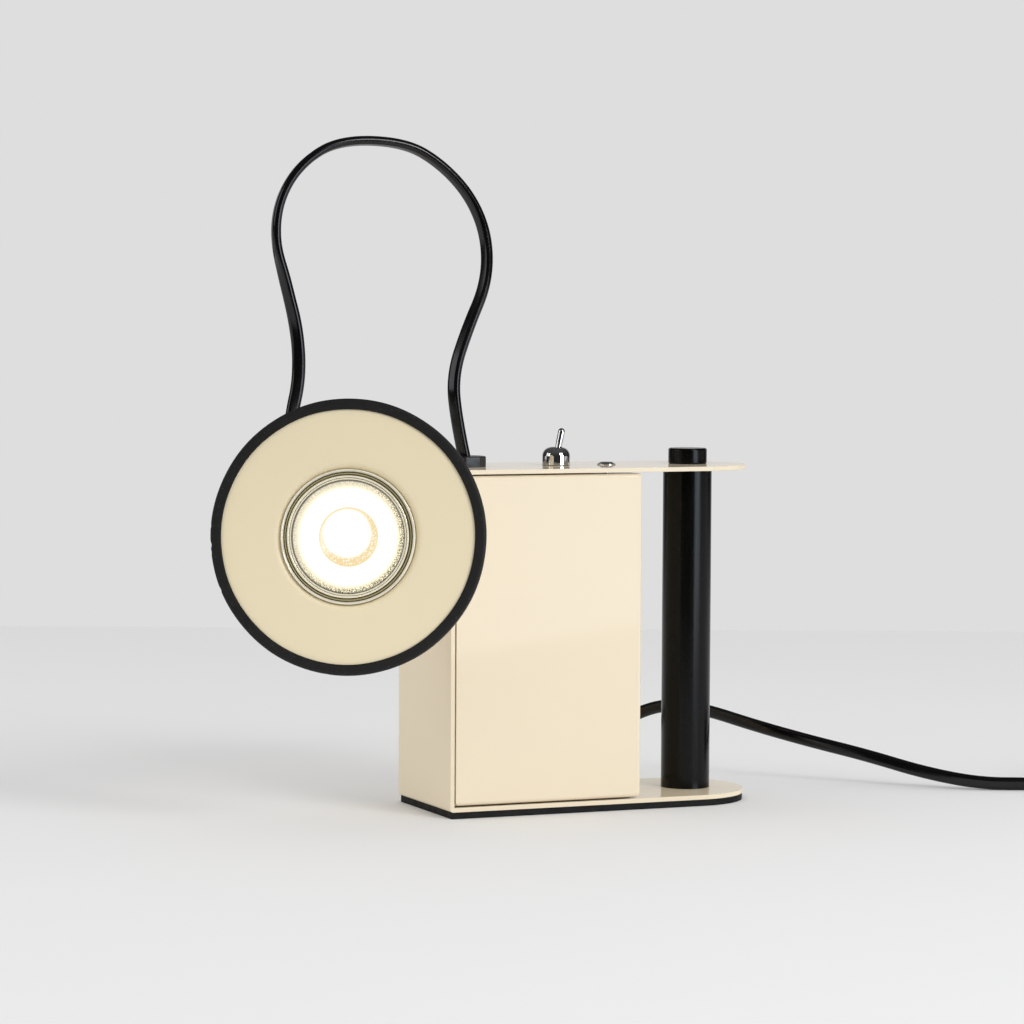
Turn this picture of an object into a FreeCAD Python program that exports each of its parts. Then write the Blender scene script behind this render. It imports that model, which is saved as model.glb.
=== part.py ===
import FreeCAD, Part

import math
import os
from types import SimpleNamespace

import Sketcher
from FreeCAD import Placement, Rotation, Vector

# Tabletop spot lamp: a folded sheet frame with a round end holds a slide-in box and a black
# grip column; a round spot head turns on a steel ball between two magnet cups.
# Frame of the part: +Z up, +X along the frame to the round end, front towards -Y,
# origin at the centre of the foot mat's underside. Millimetres.

SIZES = {
    # folded frame
    "frame_length": 154.4,
    "frame_depth": 62.4,
    "frame_height": 150.0,
    "sheet": 2.0,
    "fold_radius": 1.5,
    # foot mat
    "mat_thickness": 3.0,
    "mat_inset": 0.6,
    "mat_shift": 0.4,
    # slide-in box
    "cover_length": 89.3,
    "cover_side_gap": 0.8,
    "cover_plate_gap": 0.6,
    "cover_inset": 0.4,
    "cover_wall": 1.2,
    "cover_edge": 1.8,
    "cover_corner": 2.0,
    "cover_flange": 14.0,
    "cover_lip": 9.0,
    "cover_screw_edge": 4.1,
    "cover_screw_head": 8.6,
    "cover_screw_rise": 1.3,
    "cover_screw_shank": 3.0,
    "cover_screw_length": 8.0,
    "insert_diameter": 5.4,
    "insert_height": 4.0,
    # grip column
    "column_place": 128.6,
    "column_diameter": 22.2,
    "knob_diameter": 17.6,
    "knob_height": 7.1,
    "knob_edge": 0.9,
    "stud_diameter": 6.0,
    "stud_depth": 14.0,
    "column_screw_head": 9.5,
    "column_screw_rise": 1.5,
    # toggle switch
    "switch_place": 63.2,
    "dome_diameter": 12.7,
    "dome_height": 8.1,
    "dome_skirt": 4.3,
    "dome_shoulder": 3.9,
    "dome_mouth": 5.8,
    "bushing_diameter": 6.0,
    "bushing_bore": 4.9,
    "bushing_rise": 4.9,
    "lever_pivot": 3.1,
    "lever_diameter": 3.1,
    "lever_length": 13.9,
    "lever_tilt": 12.0,
    "switch_width": 13.0,
    "switch_depth": 8.0,
    "switch_height": 10.0,
    "switch_nut_across": 10.0,
    "switch_nut_height": 2.0,
    "terminal_length": 5.0,
    # cord glands
    "cord_width": 6.0,
    "top_gland_place": 19.7,
    "top_gland_across": 16.0,
    "top_gland_height": 4.8,
    "gland_neck": 11.0,
    "gland_tail": 6.5,
    "gland_nut_across": 17.0,
    "gland_nut_height": 3.5,
    "loop_drawn_roof": 153.0,
    "mains_gland_place": 72.2,
    "mains_gland_level": 27.8,
    "mains_gland_length": 22.0,
    "relief_mouth": 4.6,
    "relief_tip": 3.5,
    "cord_grip": 3.0,
    # steel ball and its two magnet cups
    "ball_diameter": 22.0,
    "ball_drop": 33.1,
    "ball_standoff": 26.5,
    "ball_gap": 0.3,
    "cup_seat_radius": 8.0,
    "cup_mouth_radius": 9.6,
    "cup_body_radius": 12.2,
    "cup_floor": 2.0,
    "cup_stem_radius": 7.0,
    "cup_flange_radius": 11.0,
    "cup_flange": 2.0,
    "magnet_radius": 6.9,
    "magnet_hole_radius": 3.6,
    "magnet_seat": 1.0,
    "cup_screw_diameter": 5.0,
    "cup_screw_head": 9.5,
    "cup_screw_rise": 2.8,
    "cup_screw_grip": 7.5,
    "rivet_diameter": 4.0,
    # spot head, measured forwards from the ball's centre
    "head_azimuth": 27.5,
    "head_elevation": 5.8,
    "head_reach": 78.0,
    "head_wall": 1.2,
    "seal_radius": 58.35,
    "seal_band": 4.65,
    "seal_depth": 8.0,
    "seal_proud": 0.8,
    "seal_edge": 1.0,
    "disc_thickness": 1.6,
    "disc_hole_radius": 28.9,
    "disc_collar": 4.8,
    "pan_radius": 54.6,
    "pan_depth": 21.0,
    "pan_edge": 7.0,
    "hub_radius": 23.0,
    "hub_edge": 4.0,
    "hub_blend": 5.0,
    "head_gland_side": 32.0,
    "head_gland_rise": 27.0,
    "head_gland_length": 14.0,
    # reflector bulb and its holder
    "bulb_radius": 24.8,
    "bulb_setback": 0.5,
    "bulb_body": 47.0,
    "bulb_wall": 1.4,
    "bulb_eye_radius": 12.2,
    "bulb_eye_depth": 7.5,
    "bulb_base_radius": 13.8,
    "bulb_neck_radius": 8.5,
    "pin_length": 7.0,
    "pin_half_pitch": 5.0,
    "pin_radius": 1.6,
    "pin_foot_radius": 2.5,
    "pin_slot_radius": 2.9,
    "holder_radius": 14.5,
    "holder_height": 11.6,
    "strap_thickness": 1.2,
    "strap_width": 12.0,
    "strap_screw_place": 9.5,
    "strap_screw_radius": 1.5,
    # terminal block inside the box
    "block_length": 30.0,
    "block_width": 16.0,
    "block_height": 12.0,
    "block_place": 45.0,
    # mains lead, its coil and its plug
    "coil_middle_diameter": 66.0,
    "coil_rows": 4.0,
    "coil_layers": 2.0,
    "coil_tail": 30.0,
    "plug_length": 34.0,
    "plug_thickness": 13.6,
    "plug_face_width": 26.0,
    "plug_back_width": 15.0,
    "plug_relief": 22.0,
    "plug_pin_length": 19.0,
    "plug_pin_diameter": 4.0,
    "plug_pin_pitch": 18.6,
}

doc = FreeCAD.newDocument("spot_lamp")
sheet = doc.addObject("Spreadsheet::Sheet", "sizes")


class Size:
    """A length that carries its spreadsheet formula beside its present value."""

    def __init__(self, formula, value):
        self.formula = formula
        self.value = float(value)

    def __add__(self, other):
        return Size(f"({self.formula} + {as_size(other).formula})", self.value + as_size(other).value)

    def __sub__(self, other):
        return Size(f"({self.formula} - {as_size(other).formula})", self.value - as_size(other).value)

    def __mul__(self, factor):
        return Size(f"({self.formula} * {as_size(factor).formula})", self.value * as_size(factor).value)

    def __truediv__(self, factor):
        return Size(f"({self.formula} / {as_size(factor).formula})", self.value / as_size(factor).value)

    def __neg__(self):
        return Size(f"(0 - {self.formula})", -self.value)

    def __float__(self):
        return self.value

    __radd__ = __add__
    __rmul__ = __mul__

    def __rsub__(self, other):
        return as_size(other) - self


def as_size(thing):
    return thing if isinstance(thing, Size) else Size(f"{float(thing):.6f}", thing)


def root(size):
    return Size(f"sqrt({size.formula})", math.sqrt(size.value))


def write_sizes():
    """Fills the spreadsheet and returns its cells by name."""
    for row, (name, value) in enumerate(SIZES.items(), 1):
        sheet.set(f"A{row}", name)
        sheet.set(f"B{row}", str(value))
        sheet.setAlias(f"B{row}", name)
    doc.recompute()
    return SimpleNamespace(**{name: Size(f"sizes.{name}", value) for name, value in SIZES.items()})


S = write_sizes()
pieces = []

# ---------------------------------------------------------------- building blocks


def bind(thing, prop, size):
    """Sets a property and ties it to the spreadsheet."""
    size = as_size(size)
    if not prop.startswith("."):
        setattr(thing, prop, size.value)
    thing.setExpression(prop, size.formula)


def place(thing, x=0, y=0, z=0, rotation=None):
    """Puts a piece at a place that follows the spreadsheet."""
    if rotation is not None:
        thing.Placement = Placement(Vector(), rotation)
    for letter, value in zip("xyz", (x, y, z)):
        bind(thing, f".Placement.Base.{letter}", value)
    return thing


def piece(thing, label):
    """Names a finished sub-part; the label is its node."""
    thing.Label = label
    pieces.append(thing)
    return thing


def new_body():
    return doc.addObject("PartDesign::Body", "Body")


def sketch_on(body, role, lift=None):
    """An empty sketch on one of the body's own origin planes, lifted along its normal."""
    sketch = body.newObject("Sketcher::SketchObject", "Profile")
    plane = next(f for f in body.Origin.OriginFeatures if f.Role == role)
    sketch.AttachmentSupport = [(plane, "")]
    sketch.MapMode = "FlatFace"
    if lift is not None:
        bind(sketch, ".AttachmentOffset.Base.z", lift)
    return sketch


def tie(sketch, kind, args, size):
    """Adds one driving dimension to a sketch and ties it to the spreadsheet."""
    number = sketch.addConstraint(Sketcher.Constraint(kind, *args, as_size(size).value))
    sketch.setExpression(f"Constraints[{number}]", as_size(size).formula)


def pin_point(sketch, edge, end, x, y):
    tie(sketch, "DistanceX", (-1, 1, edge, end), x)
    tie(sketch, "DistanceY", (-1, 1, edge, end), y)


def arc_between(start, end, radius, turn):
    """Part.Arc data from start to end, turning left (turn = 1) or right (turn = -1)."""
    chord = end - start
    half = chord.Length / 2
    rise = math.sqrt(max(radius**2 - half**2, 0))
    normal = Vector(-chord.y, chord.x, 0).normalize()
    centre = (start + end) * 0.5 + normal * rise * turn
    first, last = (start, end) if turn > 0 else (end, start)
    angles = [math.atan2(p.y - centre.y, p.x - centre.x) for p in (first, last)]
    circle = Part.Circle(centre, Vector(0, 0, 1), radius)
    return Part.ArcOfCircle(circle, angles[0], angles[1])


def outline(sketch, path):
    """A closed outline. Each entry is a corner (x, y), or (x, y, radius, turn) where the
    side that leaves the corner is an arc that turns left (1) or right (-1)."""
    corners = [Vector(as_size(c[0]).value, as_size(c[1]).value, 0) for c in path]
    ends = []
    for i, corner in enumerate(path):
        here, there = corners[i], corners[(i + 1) % len(path)]
        if len(corner) == 2:
            edge = sketch.addGeometry(Part.LineSegment(here, there))
            ends.append((edge, 1, 2))
        else:
            edge = sketch.addGeometry(arc_between(here, there, as_size(corner[2]).value, corner[3]))
            ends.append((edge, 1, 2) if corner[3] > 0 else (edge, 2, 1))
    for i, (edge, first, last) in enumerate(ends):
        following = ends[(i + 1) % len(ends)]
        sketch.addConstraint(Sketcher.Constraint("Coincident", edge, last, following[0], following[1]))
        pin_point(sketch, edge, first, path[i][0], path[i][1])
        if len(path[i]) == 4:
            tie(sketch, "Radius", (edge,), path[i][2])
    return sketch


def circle(sketch, x, y, diameter):
    centre = Vector(as_size(x).value, as_size(y).value, 0)
    edge = sketch.addGeometry(Part.Circle(centre, Vector(0, 0, 1), as_size(diameter).value / 2))
    pin_point(sketch, edge, 3, x, y)
    tie(sketch, "Diameter", (edge,), diameter)
    return sketch


def rectangle(sketch, left, low, right, high):
    return outline(sketch, [(left, low), (right, low), (right, high), (left, high)])


def regular(sketch, sides, across, turn=0.0):
    """A regular outline of even sides, given across its flats, about the sketch's origin."""
    reach = across / (2 * math.cos(math.pi / sides))
    angles = [math.radians(turn) + 2 * math.pi * (i + 0.5) / sides for i in range(sides)]
    return outline(sketch, [(reach * math.cos(a), reach * math.sin(a)) for a in angles])


def pad(body, sketch, length, both_ways=False, down=False):
    feature = body.newObject("PartDesign::Pad", "Pad")
    feature.Profile = sketch
    bind(feature, "Length", length)
    feature.Midplane = both_ways
    feature.Reversed = down
    return feature


def cut(body, sketch, length, both_ways=False, up=False):
    """A pocket; it has to take material away."""
    doc.recompute()
    before = body.Shape.Volume
    feature = body.newObject("PartDesign::Pocket", "Pocket")
    feature.Profile = sketch
    bind(feature, "Length", length)
    feature.Midplane = both_ways
    feature.Reversed = up
    doc.recompute()
    if body.Shape.Volume > before - 0.01:
        raise ValueError("a pocket cuts nothing")
    return feature


def turn(body, sketch):
    """A full revolution about the sketch's upright axis."""
    feature = body.newObject("PartDesign::Revolution", "Revolution")
    feature.Profile = sketch
    feature.ReferenceAxis = (sketch, ["V_Axis"])
    feature.Angle = 360
    return feature


def turned(label, path):
    """A turned piece from its half outline of (radius, height) corners."""
    body = new_body()
    turn(body, outline(sketch_on(body, "XZ_Plane"), path))
    return piece(body, label)


def round_edges(body, radius, test):
    """Fillets those edges of the body's last feature that pass the test."""
    doc.recompute()
    last = body.Tip
    names = [f"Edge{i}" for i, edge in enumerate(last.Shape.Edges, 1) if test(edge)]
    feature = body.newObject("PartDesign::Fillet", "Fillet")
    feature.Base = (last, names)
    bind(feature, "Radius", radius)
    return feature


def near(value, size):
    return abs(value - as_size(size).value) < 0.01


def cylinder(radius, height, x=0, y=0, z=0):
    part = doc.addObject("Part::Cylinder", "Cylinder")
    bind(part, "Radius", radius)
    bind(part, "Height", height)
    return place(part, x, y, z)


def box(length, width, height, x=0, y=0, z=0):
    part = doc.addObject("Part::Box", "Box")
    bind(part, "Length", length)
    bind(part, "Width", width)
    bind(part, "Height", height)
    return place(part, x, y, z)


def fused(*parts):
    feature = doc.addObject("Part::MultiFuse", "Fuse")
    feature.Shapes = list(parts)
    return feature


def less(base, tool):
    feature = doc.addObject("Part::Cut", "Cut")
    feature.Base = base
    feature.Tool = tool
    return feature


def group(*parts):
    """Separate solids that share one node."""
    feature = doc.addObject("Part::Compound", "Compound")
    feature.Links = list(parts)
    return feature


# ---------------------------------------------------------------- shared places

left_face = -(S.frame_length / 2)
round_centre = S.frame_length / 2 - S.frame_depth / 2
half_depth = S.frame_depth / 2
frame_floor = S.mat_thickness
floor_top = S.mat_thickness + S.sheet
frame_top = S.mat_thickness + S.frame_height
roof_under = frame_top - S.sheet

column_x = left_face + S.column_place
switch_x = left_face + S.switch_place
gland_x = left_face + S.top_gland_place
mains_x = left_face + S.mains_gland_place
mains_z = S.mat_thickness + S.mains_gland_level

cover_left = left_face + S.sheet + S.cover_side_gap
cover_right = cover_left + S.cover_length
screw_x = cover_right - S.cover_screw_edge
cover_front = S.cover_inset - half_depth
cover_back = half_depth - S.cover_inset
cover_low = floor_top + S.cover_plate_gap
cover_high = roof_under - S.cover_plate_gap

ball_x = left_face - S.ball_standoff
ball_z = frame_top - S.ball_drop
ball_radius = S.ball_diameter / 2
seat_radius = ball_radius + S.ball_gap

running_gap = 0.1
thread_gap = 0.05

# ---------------------------------------------------------------- frame, mat and box


def plan_outline(sketch, inset):
    """The frame's plan: square at the folded end, round at the other."""
    reach = half_depth - inset
    return outline(
        sketch,
        [
            (left_face + inset, -reach),
            (round_centre, -reach, reach, 1),
            (round_centre + reach, 0, reach, 1),
            (round_centre, reach),
            (left_face + inset, reach),
        ],
    )


def frame_shell():
    body = new_body()
    pad(body, plan_outline(sketch_on(body, "XY_Plane", frame_floor), 0), S.frame_height)
    inside = sketch_on(body, "XZ_Plane")
    rectangle(inside, left_face + S.sheet, floor_top, S.frame_length / 2 + S.sheet, roof_under)
    cut(body, inside, S.frame_depth * 2, both_ways=True)
    round_edges(
        body,
        S.fold_radius,
        lambda e: near(e.CenterOfMass.x, left_face)
        and near(e.CenterOfMass.y, 0)
        and e.BoundBox.YLength > S.frame_depth.value / 2,
    )
    roof_holes = sketch_on(body, "XY_Plane", frame_top)
    circle(roof_holes, gland_x, 0, S.gland_neck + running_gap * 2)
    circle(roof_holes, switch_x, 0, S.bushing_diameter + running_gap * 2)
    circle(roof_holes, screw_x, 0, S.cover_screw_shank + running_gap * 2)
    circle(roof_holes, column_x, 0, S.stud_diameter + running_gap * 2)
    cut(body, roof_holes, S.sheet * 2)
    floor_holes = sketch_on(body, "XY_Plane", frame_floor)
    circle(floor_holes, screw_x, 0, S.cover_screw_shank + running_gap * 2)
    circle(floor_holes, column_x, 0, S.stud_diameter + running_gap * 2)
    cut(body, floor_holes, S.sheet * 2, up=True)
    wall_hole = sketch_on(body, "YZ_Plane", left_face)
    circle(wall_hole, 0, ball_z, S.cup_screw_diameter + running_gap * 2)
    cut(body, wall_hole, S.sheet * 2, up=True)
    return piece(body, "frame_shell")


def foot_mat():
    body = new_body()
    pad(body, plan_outline(sketch_on(body, "XY_Plane"), S.mat_inset), S.mat_thickness)
    windows = sketch_on(body, "XY_Plane", S.mat_thickness)
    for x in (screw_x, column_x):
        circle(windows, x - S.mat_shift, 0, S.column_screw_head + 1)
    cut(body, windows, S.mat_thickness * 2)
    return piece(place(body, S.mat_shift), "foot_mat")


def box_cover():
    body = new_body()
    floor = sketch_on(body, "XY_Plane", cover_low)
    rectangle(floor, cover_left, cover_front, cover_right, cover_back)
    pad(body, floor, cover_high - cover_low)
    round_edges(
        body,
        S.cover_edge,
        lambda e: e.CenterOfMass.x > cover_left.value + 0.01,
    )
    corner, left, low, high = S.cover_corner, cover_left, cover_low, cover_high
    corners = sketch_on(body, "XZ_Plane", -cover_front)
    outline(corners, [(left, low), (left + corner, low, corner, -1), (left, low + corner)])
    outline(corners, [(left, high), (left, high - corner, corner, -1), (left + corner, high)])
    cut(body, corners, S.cover_edge)
    hollow = sketch_on(body, "YZ_Plane", cover_left)
    wall = S.cover_wall
    rectangle(hollow, cover_front + wall, cover_low + wall, cover_back - wall, cover_high - wall)
    cut(body, hollow, S.cover_length - wall, up=True)
    mouth = sketch_on(body, "XY_Plane", cover_low)
    lip = S.cover_lip
    rectangle(mouth, cover_left - 1, cover_front + lip, cover_right - S.cover_flange, cover_back - lip)
    cut(body, mouth, (cover_high - cover_low) * 3, both_ways=True)
    screw_holes = sketch_on(body, "XY_Plane", cover_low)
    circle(screw_holes, screw_x, 0, S.cover_screw_shank + running_gap * 2)
    cut(body, screw_holes, (cover_high - cover_low) * 3, both_ways=True)
    mains_hole = sketch_on(body, "XZ_Plane", -cover_back)
    circle(mains_hole, mains_x, mains_z, S.gland_neck + running_gap * 2)
    cut(body, mains_hole, wall * 2, up=True)
    return piece(body, "box_cover")


# ---------------------------------------------------------------- fasteners of the box


def cover_screw():
    """Low round-headed screw with a hex socket, seen on the roof."""
    head, rise, shank = S.cover_screw_head / 2, S.cover_screw_rise, S.cover_screw_shank / 2
    body = new_body()
    turn(
        body,
        outline(
            sketch_on(body, "XZ_Plane"),
            [
                (0, -S.cover_screw_length),
                (shank, -S.cover_screw_length),
                (shank, 0),
                (head, 0),
                (head, rise * 0.3),
                (head * 0.62, rise),
                (0, rise),
            ],
        ),
    )
    cut(body, regular(sketch_on(body, "XY_Plane", rise), 6, shank * 1.25), rise * 1.5)
    return piece(place(body, screw_x, 0, frame_top), "cover_screw_top")


def low_screw(label, x, shank, length):
    """A flat low-headed screw under the floor, inside the mat's window."""
    head, rise = S.column_screw_head / 2, S.column_screw_rise
    body = turned(
        label,
        [(0, -rise), (head, -rise), (head, 0), (shank, 0), (shank, length), (0, length)],
    )
    socket = regular(sketch_on(body, "XY_Plane", -rise), 6, shank * 1.2)
    cut(body, socket, rise * 0.6, up=True)
    return place(body, x, 0, frame_floor)


def screw_inserts():
    """Two threaded inserts pressed under the box's flanges."""
    bore = S.cover_screw_shank / 2 + thread_gap

    def insert(z):
        return less(
            cylinder(S.insert_diameter / 2, S.insert_height, screw_x, 0, z),
            cylinder(bore, S.insert_height * 3, screw_x, 0, z - S.insert_height),
        )

    low = insert(cover_low + S.cover_wall)
    high = insert(cover_high - S.cover_wall - S.insert_height)
    return piece(group(low, high), "cover_inserts")


# ---------------------------------------------------------------- grip column


def grip_column():
    """Round bar between floor and roof, tapped at both ends."""
    height = roof_under - floor_top
    radius, bore = S.column_diameter / 2, S.stud_diameter / 2 + thread_gap
    body = turned(
        "grip_column",
        [
            (bore, 0),
            (radius, 0),
            (radius, height),
            (bore, height),
            (bore, height - S.stud_depth),
            (0, height - S.stud_depth),
            (0, S.stud_depth),
            (bore, S.stud_depth),
        ],
    )
    return place(body, column_x, 0, floor_top)


def column_knob():
    """Cap screw that holds the column under the roof."""
    radius, edge, stud = S.knob_diameter / 2, S.knob_edge, S.stud_diameter / 2
    reach = S.sheet + S.stud_depth - 2
    body = turned(
        "column_knob",
        [
            (0, -reach),
            (stud, -reach),
            (stud, 0),
            (radius - edge * 0.5, 0),
            (radius, edge * 0.5),
            (radius, S.knob_height - edge, edge, 1),
            (radius - edge, S.knob_height),
            (0, S.knob_height),
        ],
    )
    return place(body, column_x, 0, frame_top)


# ---------------------------------------------------------------- toggle switch

pivot_z = frame_top + S.lever_pivot


def switch_dome():
    """Polished dome nut on the switch's bushing."""
    radius, skirt, top = S.dome_diameter / 2, S.dome_skirt, S.dome_height
    mouth, thread = S.dome_mouth / 2, S.bushing_diameter / 2 + thread_gap
    hollow = S.bushing_rise + running_gap
    body = turned(
        "switch_dome_nut",
        [
            (thread, 0),
            (radius - 0.3, 0),
            (radius, 0.3),
            (radius, skirt, S.dome_shoulder, 1),
            (mouth + 0.4, top),
            (mouth, top - 0.4),
            (mouth, hollow + 1),
            (thread, hollow),
        ],
    )
    return place(body, switch_x, 0, frame_top)


def switch_bushing():
    """Threaded neck of the switch, through the roof."""
    outer, bore = S.bushing_diameter / 2, S.bushing_bore / 2
    low = -(S.sheet + S.switch_nut_height + 1)
    body = turned(
        "switch_bushing",
        [(bore, low), (outer, low), (outer, S.bushing_rise), (bore, S.bushing_rise)],
    )
    return place(body, switch_x, 0, frame_top)


def switch_nut():
    body = new_body()
    pad(body, regular(sketch_on(body, "XY_Plane"), 6, S.switch_nut_across), S.switch_nut_height)
    bore = circle(sketch_on(body, "XY_Plane"), 0, 0, S.bushing_diameter + thread_gap * 2)
    cut(body, bore, S.switch_nut_height * 3, both_ways=True)
    return piece(place(body, switch_x, 0, roof_under - S.switch_nut_height), "switch_nut")


def switch_body():
    """Moulded switch case with rounded corners under the roof."""
    top = roof_under - S.switch_nut_height - 1
    half_width, half_side = S.switch_width / 2, S.switch_depth / 2
    body = new_body()
    plan = rectangle(sketch_on(body, "XY_Plane"), -half_width, -half_side, half_width, half_side)
    pad(body, plan, S.switch_height)
    round_edges(body, 0.8, lambda e: e.BoundBox.ZLength > 1)
    return piece(place(body, switch_x, 0, top - S.switch_height), "switch_body")


def switch_terminals():
    """Three solder lugs under the switch."""
    top = roof_under - S.switch_nut_height - 1 - S.switch_height
    pitch = S.switch_width / 2 - 1.8
    lugs = [
        box(0.8, 2, S.terminal_length, switch_x + pitch * step - 0.4, -1, top - S.terminal_length)
        for step in (-1, 0, 1)
    ]
    return piece(group(*lugs), "switch_terminals")


def switch_lever():
    """Bat lever with a ball root; it leans to the round end when the lamp is on."""
    tip, ball = S.lever_diameter / 2, S.bushing_bore / 2 - 0.3
    waist = tip * 0.78
    end = S.lever_length
    sunk = root(ball * ball - waist * waist)
    body = turned(
        "switch_lever",
        [
            (0, -ball, ball, 1),
            (waist, sunk),
            (tip, end - S.lever_length * 0.45),
            (tip, end - tip, tip, 1),
            (0, end),
        ],
    )
    return place(body, switch_x, 0, pivot_z, Rotation(Vector(0, 1, 0), S.lever_tilt.value))


# ---------------------------------------------------------------- cord glands


def top_gland():
    """Eight-sided cord gland on the roof; the loop cord goes down into it."""
    body = new_body()
    pad(body, regular(sketch_on(body, "XY_Plane"), 8, S.top_gland_across), S.top_gland_height)
    round_edges(body, 0.8, lambda e: near(e.BoundBox.ZMin, S.top_gland_height) and near(e.BoundBox.ZLength, 0))
    neck = circle(sketch_on(body, "XY_Plane"), 0, 0, S.gland_neck)
    pad(body, neck, S.sheet + S.gland_tail, down=True)
    return piece(place(body, gland_x, 0, frame_top), "top_gland")


def gland_nut(label, x, y, z, rotation=None):
    """Hex locknut on a gland's neck."""
    body = new_body()
    pad(body, regular(sketch_on(body, "XY_Plane"), 6, S.gland_nut_across), S.gland_nut_height)
    bore = circle(sketch_on(body, "XY_Plane"), 0, 0, S.gland_neck + thread_gap * 2)
    cut(body, bore, S.gland_nut_height * 3, both_ways=True)
    return piece(place(body, x, y, z, rotation), label)


def mains_gland():
    """Strain relief that points back out of the box, ribbed and tapered."""
    neck, mouth, tip = S.gland_neck / 2, S.relief_mouth, S.relief_tip
    length = S.mains_gland_length
    groove = 0.5
    ribs = 5
    path = [(0, -S.gland_tail), (neck, -S.gland_tail), (neck, 0), (neck + 2, 0), (neck + 2, 1.6)]
    path.append((mouth, 2.6))
    start = 4.0
    step = (length - start - 2) / ribs
    for i in range(ribs):
        low = step * i + start
        radius = mouth - (mouth - tip) * ((i + 0.5) / ribs)
        path += [(radius, low), (radius - groove, low + step * 0.35), (radius, low + step * 0.7)]
    path += [(tip, length), (0, length)]
    body = turned("mains_gland", path)
    return place(body, mains_x, cover_back, mains_z, Rotation(Vector(1, 0, 0), -90))


# ---------------------------------------------------------------- ball and wall cup


def seat_height(radius):
    """Height of the ball seat's surface over the ball's centre at a radius from the axis."""
    return root(seat_radius * seat_radius - radius * radius)


def magnet_ring(label):
    """Ring magnet whose face is hollowed to the ball."""
    outer, hole = S.magnet_radius, S.magnet_hole_radius
    back = seat_radius + S.cup_floor - S.magnet_seat
    return turned(
        label,
        [
            (hole, seat_height(hole)),
            (hole, back),
            (outer, back),
            (outer, seat_height(outer), seat_radius, 1),
        ],
    )


def cup_front():
    """The lip that both cups share, from the magnet's pocket out to the mouth."""
    pocket = S.magnet_radius + running_gap
    lip = seat_height(S.cup_seat_radius)
    return [
        (pocket, seat_radius + S.cup_floor - S.magnet_seat),
        (pocket, seat_height(pocket), seat_radius, -1),
        (S.cup_seat_radius, lip),
        (S.cup_mouth_radius, lip),
    ]


cup_back = seat_radius + S.cup_floor


def wall_cup():
    """Cup on the left wall that carries the ball, on a waisted stem with a flange."""
    screw = S.cup_screw_diameter / 2 + thread_gap
    tap_floor = S.ball_standoff - S.cup_screw_grip - 0.5
    body = turned(
        "wall_cup",
        [
            (0, seat_radius + S.cup_floor - S.magnet_seat),
            *cup_front(),
            (S.cup_mouth_radius, cup_back - 1),
            (S.cup_stem_radius, cup_back + 3),
            (S.cup_stem_radius, S.ball_standoff - S.cup_flange - 1, 1.0, -1),
            (S.cup_stem_radius + 1, S.ball_standoff - S.cup_flange),
            (S.cup_flange_radius, S.ball_standoff - S.cup_flange),
            (S.cup_flange_radius, S.ball_standoff),
            (screw, S.ball_standoff),
            (screw, tap_floor),
            (0, tap_floor),
        ],
    )
    return place(body, ball_x, 0, ball_z, towards_wall)


def cup_screw():
    head, shank = S.cup_screw_head / 2, S.cup_screw_diameter / 2
    seat = S.ball_standoff + S.sheet
    body = turned(
        "wall_cup_screw",
        [
            (0, S.ball_standoff - S.cup_screw_grip),
            (shank, S.ball_standoff - S.cup_screw_grip),
            (shank, seat),
            (head, seat),
            (head * 0.86, seat + S.cup_screw_rise),
            (0, seat + S.cup_screw_rise),
        ],
    )
    return place(body, ball_x, 0, ball_z, towards_wall)


def pivot_ball():
    ball = doc.addObject("Part::Sphere", "Ball")
    bind(ball, "Radius", ball_radius)
    return piece(place(ball, ball_x, 0, ball_z), "pivot_ball")


# ---------------------------------------------------------------- spot head

towards_wall = Rotation(Vector(0, 1, 0), 90)
head_turn = Rotation(Vector(0, 0, 1), -S.head_azimuth.value) * Rotation(
    Vector(1, 0, 0), 90 - S.head_elevation.value
)

front = S.head_reach
disc_front = front - S.seal_proud
disc_back = disc_front - S.disc_thickness
pan_back = front - S.pan_depth
hub_back = cup_back
bulb_front = disc_front - S.bulb_setback
bulb_base_back = bulb_front - S.bulb_body
holder_front = bulb_base_back - running_gap
holder_back = holder_front - S.holder_height


def on_head(thing):
    """Head pieces are drawn round the ball's centre, looking along the head's axis."""
    return place(thing, ball_x, 0, ball_z, head_turn)


def head_cup():
    """Cup at the back of the hub; its magnet holds the head on the ball."""
    rivet = S.rivet_diameter / 2 + thread_gap
    return turned(
        "head_cup",
        [
            (rivet, seat_radius + S.cup_floor - S.magnet_seat),
            *cup_front(),
            (S.cup_body_radius, cup_back - 2),
            (S.cup_body_radius, cup_back),
            (rivet, cup_back),
        ],
    )


def head_rivet():
    """Rivet through the cup's floor and the hub's floor."""
    shank = S.rivet_diameter / 2
    low = seat_radius + S.cup_floor - S.magnet_seat
    high = hub_back + S.head_wall
    return turned(
        "head_rivet",
        [
            (0, low - 0.8),
            (shank + 1.2, low - 0.8),
            (shank + 1.2, low),
            (shank, low),
            (shank, high),
            (shank + 1.8, high),
            (shank + 1.2, high + 1.2),
            (0, high + 1.2),
        ],
    )


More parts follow.
